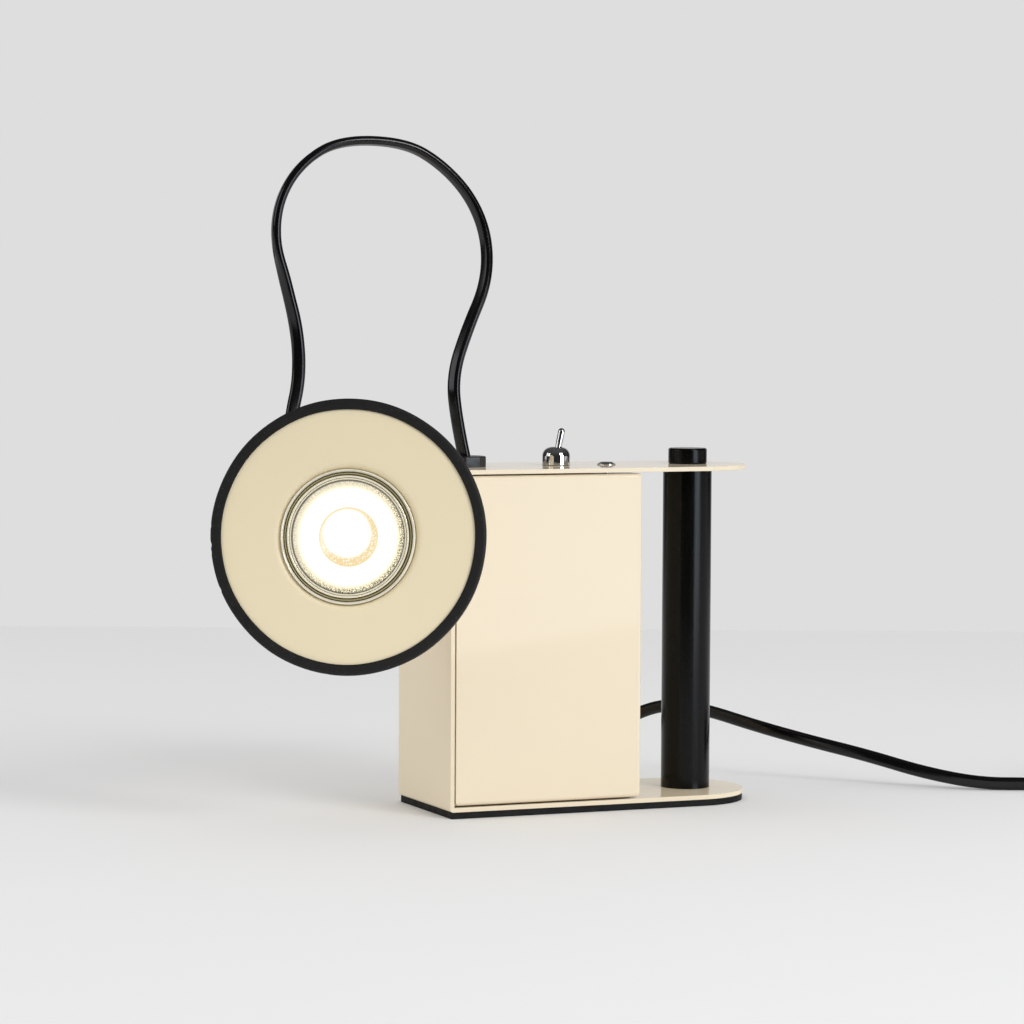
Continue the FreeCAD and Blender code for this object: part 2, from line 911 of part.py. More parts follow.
def head_shell():
    """Spun shell: a narrow hub for the bulb holder that opens into a shallow round pan."""
    wall, hub, pan = S.head_wall, S.hub_radius, S.pan_radius
    edge, blend, rim = S.hub_edge, S.hub_blend, S.pan_edge
    rivet = S.rivet_diameter / 2 + thread_gap
    body = turned(
        "head_shell",
        [
            (rivet, hub_back),
            (hub - edge, hub_back, edge, 1),
            (hub, hub_back + edge),
            (hub, pan_back - blend, blend, -1),
            (hub + blend, pan_back),
            (pan - rim, pan_back, rim, 1),
            (pan, pan_back + rim),
            (pan, disc_back),
            (pan - wall, disc_back),
            (pan - wall, pan_back + rim, rim - wall, -1),
            (pan - rim, pan_back + wall),
            (hub + blend, pan_back + wall, blend + wall, 1),
            (hub - wall, pan_back - blend),
            (hub - wall, hub_back + edge, edge - wall, -1),
            (hub - edge, hub_back + wall),
            (rivet, hub_back + wall),
        ],
    )
    cord_hole = sketch_on(body, "XY_Plane", pan_back)
    neck = S.relief_mouth * 2 - 1
    circle(cord_hole, -S.head_gland_side, S.head_gland_rise, neck + running_gap * 2)
    cut(body, cord_hole, wall * 2, up=True)
    return body


def front_disc():
    """Flat disc with a rolled-in collar round the bulb."""
    hole, face, back = S.disc_hole_radius, disc_front, disc_back
    wall = S.disc_thickness
    end = disc_front - S.disc_collar
    return turned(
        "front_disc",
        [
            (hole, end),
            (hole + wall, end),
            (hole + wall, back - 1.4, 1.4, -1),
            (hole + wall + 1.4, back),
            (S.pan_radius, back),
            (S.pan_radius, face),
            (hole + wall + 1.4, face, wall + 1.4, 1),
            (hole, back - 1.4),
        ],
    )


def rim_seal():
    """Rubber edging that clamps the disc on the shell."""
    outer, edge = S.seal_radius, S.seal_edge
    inner = S.pan_radius + running_gap
    back = front - S.seal_depth
    return turned(
        "rim_seal",
        [
            (outer - S.seal_band, disc_front),
            (inner, disc_front),
            (inner, back),
            (outer - edge, back, edge, 1),
            (outer, back + edge),
            (outer, front - edge, edge, 1),
            (outer - edge, front),
            (outer - S.seal_band, front),
        ],
    )


def bulb_ring():
    """Polished stepped ring between the bulb and the disc."""
    inner, outer = S.bulb_radius + running_gap, S.disc_hole_radius - running_gap
    step = (outer - inner) / 5
    low, face = disc_front - S.disc_collar, disc_front
    return turned(
        "bulb_ring",
        [
            (inner, low),
            (outer, low),
            (outer, face - 0.5),
            (outer - step * 0.6, face),
            (inner + step * 3.4, face - 0.2),
            (inner + step * 3, face - 1.4),
            (inner + step * 2.2, face - 1.4),
            (inner + step * 1.6, face - 0.3),
            (inner + step * 0.6, face - 0.4),
            (inner, face - 1),
        ],
    )


def bulb_reflector():
    """The bulb's coated bowl, open at the front."""
    rim, wall, foot = S.bulb_radius, S.bulb_wall, S.bulb_base_radius
    bowl_back = bulb_base_back + 14
    return turned(
        "bulb_reflector",
        [
            (foot - wall, bowl_back),
            (foot, bowl_back),
            (foot + 4, bowl_back + 10),
            (rim - 1.2, bulb_front - 8),
            (rim, bulb_front - 4),
            (rim, bulb_front),
            (rim - 0.9, bulb_front),
            (rim - 0.9, bulb_front - 3.5),
            (rim - 1.2 - wall, bulb_front - 8),
            (foot + 4 - wall, bowl_back + 10),
        ],
    )


def bulb_lens():
    """Collimating lens: a solid bowl of clear plastic with a round eye sunk in its face."""
    rim, eye = S.bulb_radius - 1, S.bulb_eye_radius
    back = bulb_base_back + 16
    return turned(
        "bulb_lens",
        [
            (0, back),
            (S.bulb_base_radius - 3, back),
            (rim - 8, bulb_front - 15),
            (rim - 2.5, bulb_front - 7.5),
            (rim, bulb_front - 3.2),
            (rim, bulb_front - 1),
            (eye + 1, bulb_front - 1.0),
            (eye, bulb_front - 1.8),
            (eye - 1.2, bulb_front - S.bulb_eye_depth),
            (0, bulb_front - S.bulb_eye_depth),
        ],
    )


def bulb_base():
    """White base of the bulb with its neck."""
    foot, neck = S.bulb_base_radius, S.bulb_neck_radius
    return turned(
        "bulb_base",
        [
            (0, bulb_base_back),
            (neck, bulb_base_back),
            (neck, bulb_base_back + 4),
            (foot - 1, bulb_base_back + 8),
            (foot, bulb_base_back + 9.5),
            (foot, bulb_base_back + 14 - running_gap),
            (foot - S.bulb_wall, bulb_base_back + 14 - running_gap),
            (foot - S.bulb_wall, bulb_base_back + 15.4),
            (0, bulb_base_back + 15.4),
        ],
    )


def bulb_pins():
    """Two twist-lock pins with wider feet."""
    foot = 1.8
    pins = []
    for side in (-1, 1):
        x = S.pin_half_pitch * side
        tip = bulb_base_back - S.pin_length
        stem = cylinder(S.pin_radius, S.pin_length - foot, x, 0, tip + foot)
        pins.append(fused(stem, cylinder(S.pin_foot_radius, foot, x, 0, tip)))
    return piece(group(*pins), "bulb_pins")


def lamp_holder():
    """Ceramic holder with a round slot for each pin."""
    body = new_body()
    pad(body, circle(sketch_on(body, "XY_Plane", holder_back), 0, 0, S.holder_radius * 2), S.holder_height)
    slots = sketch_on(body, "XY_Plane", holder_front)
    for side in (-1, 1):
        circle(slots, S.pin_half_pitch * side, 0, S.pin_slot_radius * 2)
    cut(body, slots, S.pin_length + 1)
    taps = sketch_on(body, "XY_Plane", holder_back)
    for side in (-1, 1):
        circle(taps, 0, S.strap_screw_place * side, (S.strap_screw_radius + thread_gap) * 2)
    cut(body, taps, 5, up=True)
    return piece(body, "lamp_holder")


def holder_strap():
    """Flat steel strap across the hub that carries the holder."""
    body = new_body()
    reach = S.hub_radius - S.head_wall - 0.3
    half_width = S.strap_width / 2
    low = holder_back - S.strap_thickness
    corner = root(reach * reach - half_width * half_width)
    plan = outline(
        sketch_on(body, "XY_Plane", low),
        [
            (half_width, -corner),
            (half_width, corner, reach, 1),
            (-half_width, corner),
            (-half_width, -corner, reach, 1),
        ],
    )
    pad(body, plan, S.strap_thickness)
    holes = sketch_on(body, "XY_Plane", low)
    for side in (-1, 1):
        circle(holes, 0, S.strap_screw_place * side, (S.strap_screw_radius + running_gap) * 2)
    cut(body, holes, S.strap_thickness * 3, both_ways=True)
    return piece(body, "holder_strap")


def strap_screws():
    """Two small screws from behind the strap into the holder."""
    head_height = 0.9
    screws = []
    for side in (-1, 1):
        y = S.strap_screw_place * side
        low = holder_back - S.strap_thickness
        shank = cylinder(S.strap_screw_radius, S.strap_thickness + 4, 0, y, low)
        screws.append(fused(shank, cylinder(S.strap_screw_radius * 1.8, head_height, 0, y, low - head_height)))
    return piece(group(*screws), "strap_screws")


def head_gland():
    """Tapered rubber relief where the loop cord leaves the back of the pan."""
    neck, mouth, tip = S.relief_mouth - 0.5, S.relief_mouth, S.relief_tip
    length = S.head_gland_length
    return turned(
        "head_gland",
        [
            (0, -length),
            (tip, -length),
            (mouth, -2),
            (mouth + 0.9, -1.8),
            (mouth + 0.9, 0),
            (neck, 0),
            (neck, S.head_wall + 2),
            (0, S.head_wall + 2),
        ],
    )


# ---------------------------------------------------------------- cords


def smooth_wire(points):
    """Straight runs joined by tangent arcs, each as large as its two runs allow."""
    fraction = 0.45
    edges, radii = [], []
    here = points[0]
    for before, corner, after in zip(points, points[1:], points[2:]):
        run_in, run_out = corner - before, after - corner
        half_turn = run_in.getAngle(run_out) / 2
        reach = fraction * min(run_in.Length, run_out.Length)
        start = corner - run_in.normalize() * reach
        end = corner + run_out.normalize() * reach
        radius = reach / math.tan(half_turn)
        radii.append(radius)
        to_centre = (run_out - run_in).normalize()
        middle = corner + to_centre * (radius / math.cos(half_turn) - radius)
        edges.append(Part.LineSegment(here, start).toShape())
        edges.append(Part.Arc(start, middle, end).toShape())
        here = end
    edges.append(Part.LineSegment(here, points[-1]).toShape())
    return Part.Wire(edges), radii


def cord_tube(label, route, width):
    """A plain round tube along a hand-set route."""
    points = [Vector(*p) for p in route]
    wire, radii = smooth_wire(points)
    start = Part.Circle(points[0], points[1] - points[0], width / 2)
    profile = Part.Wire([start.toShape()])
    solid = wire.makePipeShell([profile], True, False)
    expected = math.pi * width**2 / 4 * wire.Length
    print(
        f"{label}: length {wire.Length:.1f}, radii {', '.join(f'{r:.0f}' for r in radii)},",
        f"volume {solid.Volume / expected:.4f} of section times length",
    )
    feature = doc.addObject("Part::Feature", "Tube")
    feature.Shape = solid
    return piece(feature, label)


# The loop cord: up out of the roof gland, over, and down to the back of the head.
# It is two lengths that meet at the top of the loop, above the ball.
LOOP_TOP = (-98.5, 11.0, 296.8)
LOOP_GLAND_SIDE = [
    (-58.0, 0.0, 154.8),
    (-62.5, 0.2, 174.3),
    (-64.0, 1.0, 193.8),
    (-56.3, 2.5, 214.3),
    (-46.6, 4.0, 234.3),
    (-45.5, 6.0, 254.3),
    (-52.2, 8.0, 272.2),
    (-66.0, 9.0, 286.8),
    (-83.5, 10.0, 296.5),
    LOOP_TOP,
]
LOOP_HEAD_SIDE = [
    (-143.5, -7.0, 152.8),
    (-139.0, 4.5, 156.3),
    (-135.5, 14.0, 164.3),
    (-133.0, 20.0, 175.3),
    (-129.0, 20.5, 191.8),
    (-130.3, 19.0, 211.8),
    (-136.4, 17.5, 233.8),
    (-142.4, 16.0, 253.3),
    (-140.6, 14.5, 271.3),
    (-130.8, 13.0, 286.8),
    (-113.5, 12.0, 297.1),
    LOOP_TOP,
]
# The mains lead: back out of the box, round to the right and down to the table.
MAINS_ROUTE = [
    (-5.0, 67.0, 30.4),
    (1.0, 82.0, 28.8),
    (15.0, 94.0, 26.8),
    (37.0, 99.0, 23.8),
    (60.0, 95.5, 23.4),
    (79.5, 84.5, 33.4),
    (93.5, 67.5, 31.8),
    (110.5, 48.0, 25.4),
    (130.0, 29.0, 19.3),
    (150.5, 9.5, 13.8),
    (170.5, -10.0, 7.0),
    (191.0, -26.5, 3.0),
    (213.0, -36.0, 3.0),
    (234.0, -47.5, 3.0),
    (254.0, -62.0, 3.0),
]


def head_point(side, rise, along):
    """A point given in the head's own frame, in the frame of the part."""
    return Vector(ball_x.value, 0, ball_z.value) + head_turn.multVec(Vector(side, rise, along))


def lifted(route):
    """The loop's points follow the roof that they are drawn for."""
    lift = (frame_top - S.loop_drawn_roof).value
    return [(x, y, z + lift) for x, y, z in route]


def cords():
    width = S.cord_width.value
    cord_tube("loop_cord_box", lifted(LOOP_GLAND_SIDE), width)
    exit_back = pan_back.value - S.head_gland_length.value + S.cord_grip.value
    exit_point = head_point(-S.head_gland_side.value, S.head_gland_rise.value, exit_back)
    cord_tube("loop_cord_head", [tuple(exit_point), *lifted(LOOP_HEAD_SIDE)], width)
    relief_end = cover_back.value + S.mains_gland_length.value - S.cord_grip.value
    cord_tube("mains_cord", [(mains_x.value, relief_end, mains_z.value), *MAINS_ROUTE], width)


def coil_and_plug():
    """The stored coil, the lead's tail out of it, and the plug that lies beside it."""
    width = S.cord_width.value
    end, before = Vector(*MAINS_ROUTE[-1]), Vector(*MAINS_ROUTE[-2])
    along = (end - before).normalize()
    inward = Vector(-along.y, along.x, 0)
    middle = S.coil_middle_diameter.value / 2
    half_band = S.coil_rows.value * width / 2
    outer_turn = middle + half_band - width / 2
    centre = Vector(end.x, end.y, 0) + inward * outer_turn
    height = S.coil_layers.value * width
    ring = Part.makeCylinder(middle + half_band, height, centre)
    ring = ring.cut(Part.makeCylinder(middle - half_band, height, centre))
    rounded = [e for e in ring.Edges if e.Closed and e.Curve.TypeId == "Part::GeomCircle"]
    ring = ring.makeFillet(width * 0.3, rounded)
    leave = centre + Vector(outer_turn, 0, S.plug_thickness.value / 2)
    tail_dir = Vector(0, 1, 0)
    tail = Part.makeCylinder(width / 2, S.coil_tail.value, leave, tail_dir)
    coil = doc.addObject("Part::Feature", "Coil")
    coil.Shape = ring.fuse(tail).removeSplitter()
    piece(coil, "mains_coil")
    return leave + tail_dir * S.coil_tail.value


def plug_parts(mouth):
    """Flat two-pin plug: a moulded body that widens to its face, pins and ribbed relief."""
    level = mouth.z
    relief, length = S.plug_relief, S.plug_length
    half_thick = S.plug_thickness / 2
    body = new_body()
    back, face = S.plug_back_width / 2, S.plug_face_width / 2
    root_radius = S.relief_mouth + 0.6
    plan = outline(
        sketch_on(body, "XY_Plane"),
        [
            (-back, relief),
            (back, relief),
            (back + 1, relief + length * 0.35),
            (face, relief + length * 0.62),
            (face, relief + length),
            (-face, relief + length),
            (-face, relief + length * 0.62),
            (-back - 1, relief + length * 0.35),
        ],
    )
    pad(body, plan, S.plug_thickness, both_ways=True)
    face_y = (relief + length).value
    round_edges(body, 2.4, lambda e: e.BoundBox.ZLength < 0.01 and e.BoundBox.YMin < face_y - 1)
    piece(place(body, mouth.x, mouth.y, half_thick), "plug_body")
    spigot = turned(
        "plug_relief",
        [(0, 0), (S.relief_tip, 0), (root_radius, relief - 1), (root_radius, relief), (0, relief)],
    )
    place(spigot, mouth.x, mouth.y, level, Rotation(Vector(1, 0, 0), -90))
    pins = []
    for side in (-1, 1):
        pin = cylinder(
            S.plug_pin_diameter / 2,
            S.plug_pin_length,
            mouth.x + S.plug_pin_pitch / 2 * side,
            mouth.y + relief + length,
            half_thick,
        )
        pin.Placement.Rotation = Rotation(Vector(1, 0, 0), -90)
        pins.append(pin)
    piece(group(*pins), "plug_pins")


# ---------------------------------------------------------------- terminal block


def terminal_block():
    """Two-pole block on the floor of the box, with its four clamp screws' wells."""
    body = new_body()
    half_length, half_width = S.block_length / 2, S.block_width / 2
    plan = rectangle(sketch_on(body, "XY_Plane"), -half_width, -half_length, half_width, half_length)
    pad(body, plan, S.block_height)
    wells = sketch_on(body, "XY_Plane", S.block_height)
    for x in (-1, 1):
        for y in (-1, 1):
            circle(wells, half_width * 0.5 * x, half_length * 0.45 * y, 4.4)
    cut(body, wells, 4)
    return piece(place(body, left_face + S.block_place, 0, floor_top), "terminal_block")


def clamp_screws():
    """Four clamp screws down in the block's wells."""
    bottom = floor_top + S.block_height - 4
    x0 = left_face + S.block_place
    screws = [
        cylinder(1.9, 2.4, x0 + S.block_width * 0.25 * x, S.block_length * 0.225 * y, bottom)
        for x in (-1, 1)
        for y in (-1, 1)
    ]
    return piece(group(*screws), "clamp_screws")


# ---------------------------------------------------------------- build and export


def build():
    frame_shell()
    foot_mat()
    box_cover()
    cover_screw()
    low_screw("cover_screw_low", screw_x, S.cover_screw_shank / 2, S.cover_screw_length)
    screw_inserts()
    grip_column()
    column_knob()
    low_screw("column_screw", column_x, S.stud_diameter / 2, S.stud_depth)
    switch_dome()
    switch_bushing()
    switch_nut()
    switch_body()
    switch_terminals()
    switch_lever()
    top_gland()
    gland_nut("top_gland_nut", gland_x, 0, roof_under - S.gland_nut_height)
    mains_gland()
    nut_turn = Rotation(Vector(1, 0, 0), 90)
    gland_nut("mains_gland_nut", mains_x, cover_back - S.cover_wall, mains_z, nut_turn)
    terminal_block()
    clamp_screws()
    wall_cup()
    place(magnet_ring("wall_magnet"), ball_x, 0, ball_z, towards_wall)
    cup_screw()
    pivot_ball()
    on_head(head_cup())
    on_head(magnet_ring("head_magnet"))
    on_head(head_rivet())
    on_head(head_shell())
    on_head(front_disc())
    on_head(rim_seal())
    on_head(bulb_ring())
    on_head(bulb_reflector())
    on_head(bulb_lens())
    on_head(bulb_base())
    on_head(bulb_pins())
    on_head(lamp_holder())
    on_head(holder_strap())
    on_head(strap_screws())
    gland = head_gland()
    centre = head_point(-S.head_gland_side.value, S.head_gland_rise.value, pan_back.value)
    gland.Placement = Placement(centre, head_turn)
    cords()
    plug_parts(coil_and_plug())


def export():
    """Checks every object and writes one file for each sub-part."""
    doc.recompute()
    for thing in doc.Objects:
        if "Invalid" in thing.State or "Error" in thing.State:
            raise ValueError(f"{thing.Label} didn't build: {thing.State}")
    for thing in pieces:
        if thing.Shape.isNull() or not thing.Shape.isValid() or not thing.Shape.Solids:
            raise ValueError(f"{thing.Label} has no valid shape")
    os.makedirs("parts", exist_ok=True)
    for thing in pieces:
        thing.Shape.exportStep(f"parts/{thing.Label}.step")
    print(f"{len(pieces)} sub-parts")


build()
export()
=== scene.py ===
# %% [markdown]
# # A small table spot lamp, dressed piece by piece
#
# The real lamp is a folded sheet of cream steel with a slide-in box, a black grip column and a
# round spot head on a magnet ball. Its solids are already made and packed; this lesson gives
# them their surfaces, replaces the few that are too plain, and lights them in a quiet studio.
# Every cell makes one thing and prints what it made, so that it can be run and looked at alone.

import math

import bmesh
import bpy
from mathutils import Matrix, Vector


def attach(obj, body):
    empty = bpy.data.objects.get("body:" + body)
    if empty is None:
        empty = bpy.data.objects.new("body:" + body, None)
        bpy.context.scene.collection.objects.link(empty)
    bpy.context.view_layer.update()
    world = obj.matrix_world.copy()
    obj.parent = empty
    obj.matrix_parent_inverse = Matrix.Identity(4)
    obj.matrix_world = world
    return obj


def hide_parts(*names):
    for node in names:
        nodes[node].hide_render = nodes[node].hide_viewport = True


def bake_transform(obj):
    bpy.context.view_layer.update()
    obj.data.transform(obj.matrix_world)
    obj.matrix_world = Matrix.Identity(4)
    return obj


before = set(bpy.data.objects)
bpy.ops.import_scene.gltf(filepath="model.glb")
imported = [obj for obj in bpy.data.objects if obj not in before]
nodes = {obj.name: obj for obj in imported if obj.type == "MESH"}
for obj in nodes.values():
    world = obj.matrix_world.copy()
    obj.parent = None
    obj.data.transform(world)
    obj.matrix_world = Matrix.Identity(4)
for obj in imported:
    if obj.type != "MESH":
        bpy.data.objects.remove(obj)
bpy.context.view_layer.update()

# %% [markdown]
# ## The camera
#
# A small object on a table looks calm through a long lens from a little above the table top,
# because its upright edges stay nearly parallel. A lens of 133 mm on a 36 mm sensor gives that
# perspective. The camera is placed by its turn, tilt and roll, which is easier to read than a
# bare matrix. AHEAD and ASIDE are its level directions, and the table and the world use them too.

# %% Place the camera
TURN = math.radians(22.97)
TILT = math.radians(3.399)
ROLL = math.radians(0.3037)
EYE = Vector((-0.69616, -1.55901, 0.23293))
LENS, SENSOR = 133.32, 36.0
AHEAD = Vector((math.sin(TURN), math.cos(TURN), 0))
ASIDE = Vector((math.cos(TURN), -math.sin(TURN), 0))

forward = Vector(
    (math.sin(TURN) * math.cos(TILT), math.cos(TURN) * math.cos(TILT), -math.sin(TILT))
)
upright = ASIDE.cross(forward)
across = ASIDE * math.cos(ROLL) + upright * math.sin(ROLL)
upwards = upright * math.cos(ROLL) - ASIDE * math.sin(ROLL)

camera = bpy.data.objects.new("camera", bpy.data.cameras.new("camera"))
camera.data.lens = LENS
camera.data.sensor_width = SENSOR
camera.data.clip_start = 0.05
camera.data.clip_end = 30.0
camera.matrix_world = Matrix((across, upwards, -forward)).transposed().to_4x4()
camera.matrix_world.translation = EYE
bpy.context.scene.collection.objects.link(camera)
bpy.context.scene.camera = camera
bpy.context.scene.view_settings.view_transform = "Standard"
print("camera", round(EYE.length, 3), "m from the lamp's middle")

# %% [markdown]
# ## Small tools for finishes
#
# A finish is a Principled shader with a few texture nodes in front of it. The helpers below add
# one thing each: a new material, a soft noise, a blend of two colours, a bump. Sizes are real
# because the noise is measured in the object's own metres, so no piece needs a UV map. A number
# that is the same all over is set on the shader's socket itself, and only what varies is wired.

# %% Helpers for finishes
def new_finish(name, colour, roughness, metallic=0.0, **constants):
    """A material with one Principled shader, given its even values."""
    material = bpy.data.materials.new(name)
    material.use_nodes = True
    shader = material.node_tree.nodes["Principled BSDF"]
    shader.inputs["Base Color"].default_value = (*colour, 1)
    shader.inputs["Roughness"].default_value = roughness
    shader.inputs["Metallic"].default_value = metallic
    for socket, value in constants.items():
        shader.inputs[socket.replace("_", " ")].default_value = value
    return material, material.node_tree, shader


def grain(tree, size, detail=2.0, stretch=(1, 1, 1)):
    """Soft noise whose blots are about size metres wide, or longer where stretch is under 1."""
    place = tree.nodes.new("ShaderNodeTexCoord")
    scale = tree.nodes.new("ShaderNodeMapping")
    scale.inputs["Scale"].default_value = [s / size for s in stretch]
    noise = tree.nodes.new("ShaderNodeTexNoise")
    noise.inputs["Scale"].default_value = 1.0
    noise.inputs["Detail"].default_value = detail
    tree.links.new(place.outputs["Object"], scale.inputs["Vector"])
    tree.links.new(scale.outputs["Vector"], noise.inputs["Vector"])
    return noise.outputs["Fac"]


def between(tree, value, low, high, start=0.3, stop=0.7):
    """Maps a value from start and stop to low and high. The usual start and stop suit a noise."""
    ramp = tree.nodes.new("ShaderNodeMapRange")
    tree.links.new(value, ramp.inputs["Value"])
    settings = {"From Min": start, "From Max": stop, "To Min": low, "To Max": high}
    for socket, number in settings.items():
        ramp.inputs[socket].default_value = number
    return ramp.outputs["Result"]


def mixed(tree, factor, first, second, mode="MIX"):
    """A colour from first to second. Each is a plain colour or another node's output."""
    mix = tree.nodes.new("ShaderNodeMix")
    mix.data_type = "RGBA"
    mix.blend_type = mode
    tree.links.new(factor, mix.inputs["Factor"])
    for socket, colour in (("A", first), ("B", second)):
        if isinstance(colour, tuple):
            mix.inputs[socket].default_value = (*colour, 1)
        else:
            tree.links.new(colour, mix.inputs[socket])
    return mix.outputs["Result"]


def add_bump(tree, shader, height, depth, edge=0.0):
    """Bumps of the given depth in metres, over edges that are softened by edge metres."""
    bump = tree.nodes.new("ShaderNodeBump")
    bump.inputs["Distance"].default_value = depth
    bump.inputs["Strength"].default_value = 1.0
    tree.links.new(height, bump.inputs["Height"])
    if edge:
        soft_edge = tree.nodes.new("ShaderNodeBevel")
        soft_edge.samples = 6
        soft_edge.inputs["Radius"].default_value = edge
        tree.links.new(soft_edge.outputs["Normal"], bump.inputs["Normal"])
    tree.links.new(bump.outputs["Normal"], shader.inputs["Normal"])
    return bump.outputs["Normal"]


print("helpers for finishes are ready")

# %% [markdown]
# ## Cream powder coat
#
# Powder coat is a thick, glossy skin that melts in an oven. It is never quite flat: it keeps a
# faint orange peel, its gloss wanders a little, and the sharp edges of the sheet come out soft.
# The first noise shifts the colour by a hair, the second the gloss, and a fine one makes the
# peel. A painted shade darkens the colour in the narrow seams, where little light gets in. The
# front of the head has the same coat in a slightly deeper and less glossy batch.

# %% Powder coat
def shade_in_gaps(tree, colour, deep, reach):
    """Paints shade: darkens a colour where other surfaces stand closer than reach metres."""
    openness = tree.nodes.new("ShaderNodeAmbientOcclusion")
    openness.samples = 8
    openness.inputs["Distance"].default_value = reach
    light = between(tree, openness.outputs["AO"], 0.0, 1.0, 0.25, 0.6)
    return mixed(tree, light, deep, colour)


def powder_coat(name, colour, deeper, gloss, peel, edge, reach):
    """Cream enamel: an even body under a clear, glossy skin with a faint orange peel."""
    skin = {"Coat_Weight": gloss, "Coat_Roughness": peel, "Coat_IOR": 1.25}
    material, tree, shader = new_finish(name, colour, 0.45, Specular_IOR_Level=0.0, **skin)
    link = tree.links.new
    body = mixed(tree, grain(tree, 0.05, 2.0), colour, deeper)
    # Painted shade: the coat's colour darkens in narrow seams and gaps.
    link(shade_in_gaps(tree, body, GAP_SHADE, reach), shader.inputs["Base Color"])
    link(between(tree, grain(tree, 0.02, 2.0), 0.42, 0.48), shader.inputs["Roughness"])
    bump = add_bump(tree, shader, grain(tree, 0.0022, 1.0), 0.000004, edge)
    link(bump, shader.inputs["Coat Normal"])
    return material


# The colour of the painted shade in narrow seams, where little light gets in.
GAP_SHADE = (0.03, 0.02, 0.01)
CREAM, DEEPER_CREAM = (0.835, 0.725, 0.545), (0.825, 0.713, 0.53)
DISC, DEEPER_DISC = (0.84, 0.735, 0.51), (0.83, 0.722, 0.498)
cream_coat = powder_coat(
    "cream_powder_coat", CREAM, DEEPER_CREAM, gloss=1.0, peel=0.05, edge=0.0004, reach=0.0009
)
disc_coat = powder_coat(
    "deep_cream_coat", DISC, DEEPER_DISC, gloss=0.6, peel=0.16, edge=0.0003, reach=0.0002
)
print("coats:", cream_coat.name, disc_coat.name)

# %% [markdown]
# ## Metals
#
# Chrome plate is almost a mirror; it shows the room rather than a colour of its own. Turned and
# zinc-plated steel is duller and keeps fine marks. The column and its knob are anodised black,
# a satin finish with a soft, narrow highlight down its length. Each row below gives a metal's
# colour, roughness, size of marks and depth of marks, in metres.

# %% Metals
def plated(name, colour, roughness, mark_size, depth):
    """Metal with faint wandering gloss and fine marks."""
    material, tree, shader = new_finish(name, colour, roughness, metallic=1.0)
    gloss = between(tree, grain(tree, mark_size, 1.0), roughness * 0.9, roughness * 1.15)
    tree.links.new(gloss, shader.inputs["Roughness"])
    add_bump(tree, shader, grain(tree, mark_size * 0.4, 2.0), depth, 0.0002)
    return material


chrome = plated("chrome_plate", (0.80, 0.80, 0.81), 0.06, 0.004, 0.000002)
bright_steel = plated("plated_steel", (0.62, 0.62, 0.63), 0.28, 0.001, 0.0000015)
magnet_plate = plated("magnet_plating", (0.42, 0.42, 0.44), 0.28, 0.002, 0.000005)
brass = plated("turned_brass", (0.72, 0.54, 0.28), 0.30, 0.001, 0.0000015)


def anodised(name, colour, roughness):
    """Black anodised aluminium, drawn lengthwise along the column."""
    material, tree, shader = new_finish(name, colour, roughness, Specular_IOR_Level=0.2)
    drawn = grain(tree, 0.0012, 2.0, (1, 1, 0.05))
    gloss = between(tree, drawn, roughness - 0.04, roughness + 0.05)
    tree.links.new(gloss, shader.inputs["Roughness"])
    dust = between(tree, grain(tree, 0.0007, 0.0), 0.0, 1.0, 0.74, 0.80)
    shade = mixed(tree, dust, colour, (0.008, 0.008, 0.008))
    tree.links.new(shade, shader.inputs["Base Color"])
    add_bump(tree, shader, grain(tree, 0.0009, 2.0, (1, 1, 0.1)), 0.000001, 0.0003)
    return material


black_satin = anodised("black_satin", (0.0022, 0.0022, 0.002), 0.2)
print("metals:", chrome.name, bright_steel.name, black_satin.name)

# %% [markdown]
# ## Plastics, rubber and ceramic
#
# The cord's jacket is soft PVC with a wet gloss and a slow ripple. The rim and the foot are
# matt rubber with a pebbled skin and a few pale scuffs. Glands and plug are moulded with a fine
# spark-eroded texture, and the bulb's holder is glazed ceramic. Each row below gives a skin's
# colour, roughness, size of texture, depth of texture and the colour of its specks.

# %% Plastics, rubber and ceramic
def moulded(name, colour, roughness, texture, depth, speck, edge=0.0003, **constants):
    """A moulded skin: fine texture, wandering gloss and a few pale specks."""
    material, tree, shader = new_finish(name, colour, roughness, **constants)
    link = tree.links.new
    gloss = between(tree, grain(tree, texture * 6, 2.0), roughness - 0.06, roughness + 0.08)
    link(gloss, shader.inputs["Roughness"])
    specks = between(tree, grain(tree, texture * 1.5, 0.0), 0.0, 1.0, 0.76, 0.80)
    link(mixed(tree, specks, colour, speck), shader.inputs["Base Color"])
    add_bump(tree, shader, grain(tree, texture, 2.0), depth, edge)
    return material


DULL, WET = {"Specular_IOR_Level": 0.3}, {"Specular_IOR_Level": 0.42}
RUBBER, SCUFFS = (0.0115, 0.011, 0.0102), (0.03, 0.03, 0.028)
FOOT, FOOT_SCUFFS = (0.003, 0.0029, 0.0026), (0.008, 0.008, 0.007)
JACKET, JACKET_DUST = (0.0025, 0.0025, 0.0026), (0.004, 0.004, 0.004)
BLACK, BLACK_DUST = (0.006, 0.006, 0.0062), (0.02, 0.02, 0.02)
WHITE, WHITE_DUST = (0.74, 0.72, 0.68), (0.66, 0.64, 0.6)
CERAMIC, CERAMIC_DUST = (0.78, 0.75, 0.70), (0.7, 0.67, 0.62)
rubber = moulded("matt_rubber", RUBBER, 0.55, 0.0005, 0.00002, SCUFFS, **DULL)
foot_rubber = moulded("foot_rubber", FOOT, 0.65, 0.0006, 0.00003, FOOT_SCUFFS, **DULL)
jacket = moulded("pvc_jacket", JACKET, 0.16, 0.004, 0.000004, JACKET_DUST, 0.0, **WET)
black_mould = moulded("black_moulding", BLACK, 0.34, 0.0004, 0.000015, BLACK_DUST)
white_mould = moulded("white_moulding", WHITE, 0.42, 0.0005, 0.00001, WHITE_DUST)
glaze = moulded("glazed_ceramic", CERAMIC, 0.22, 0.002, 0.00002, CERAMIC_DUST)
print("mouldings:", rubber.name, jacket.name, black_mould.name, glaze.name)
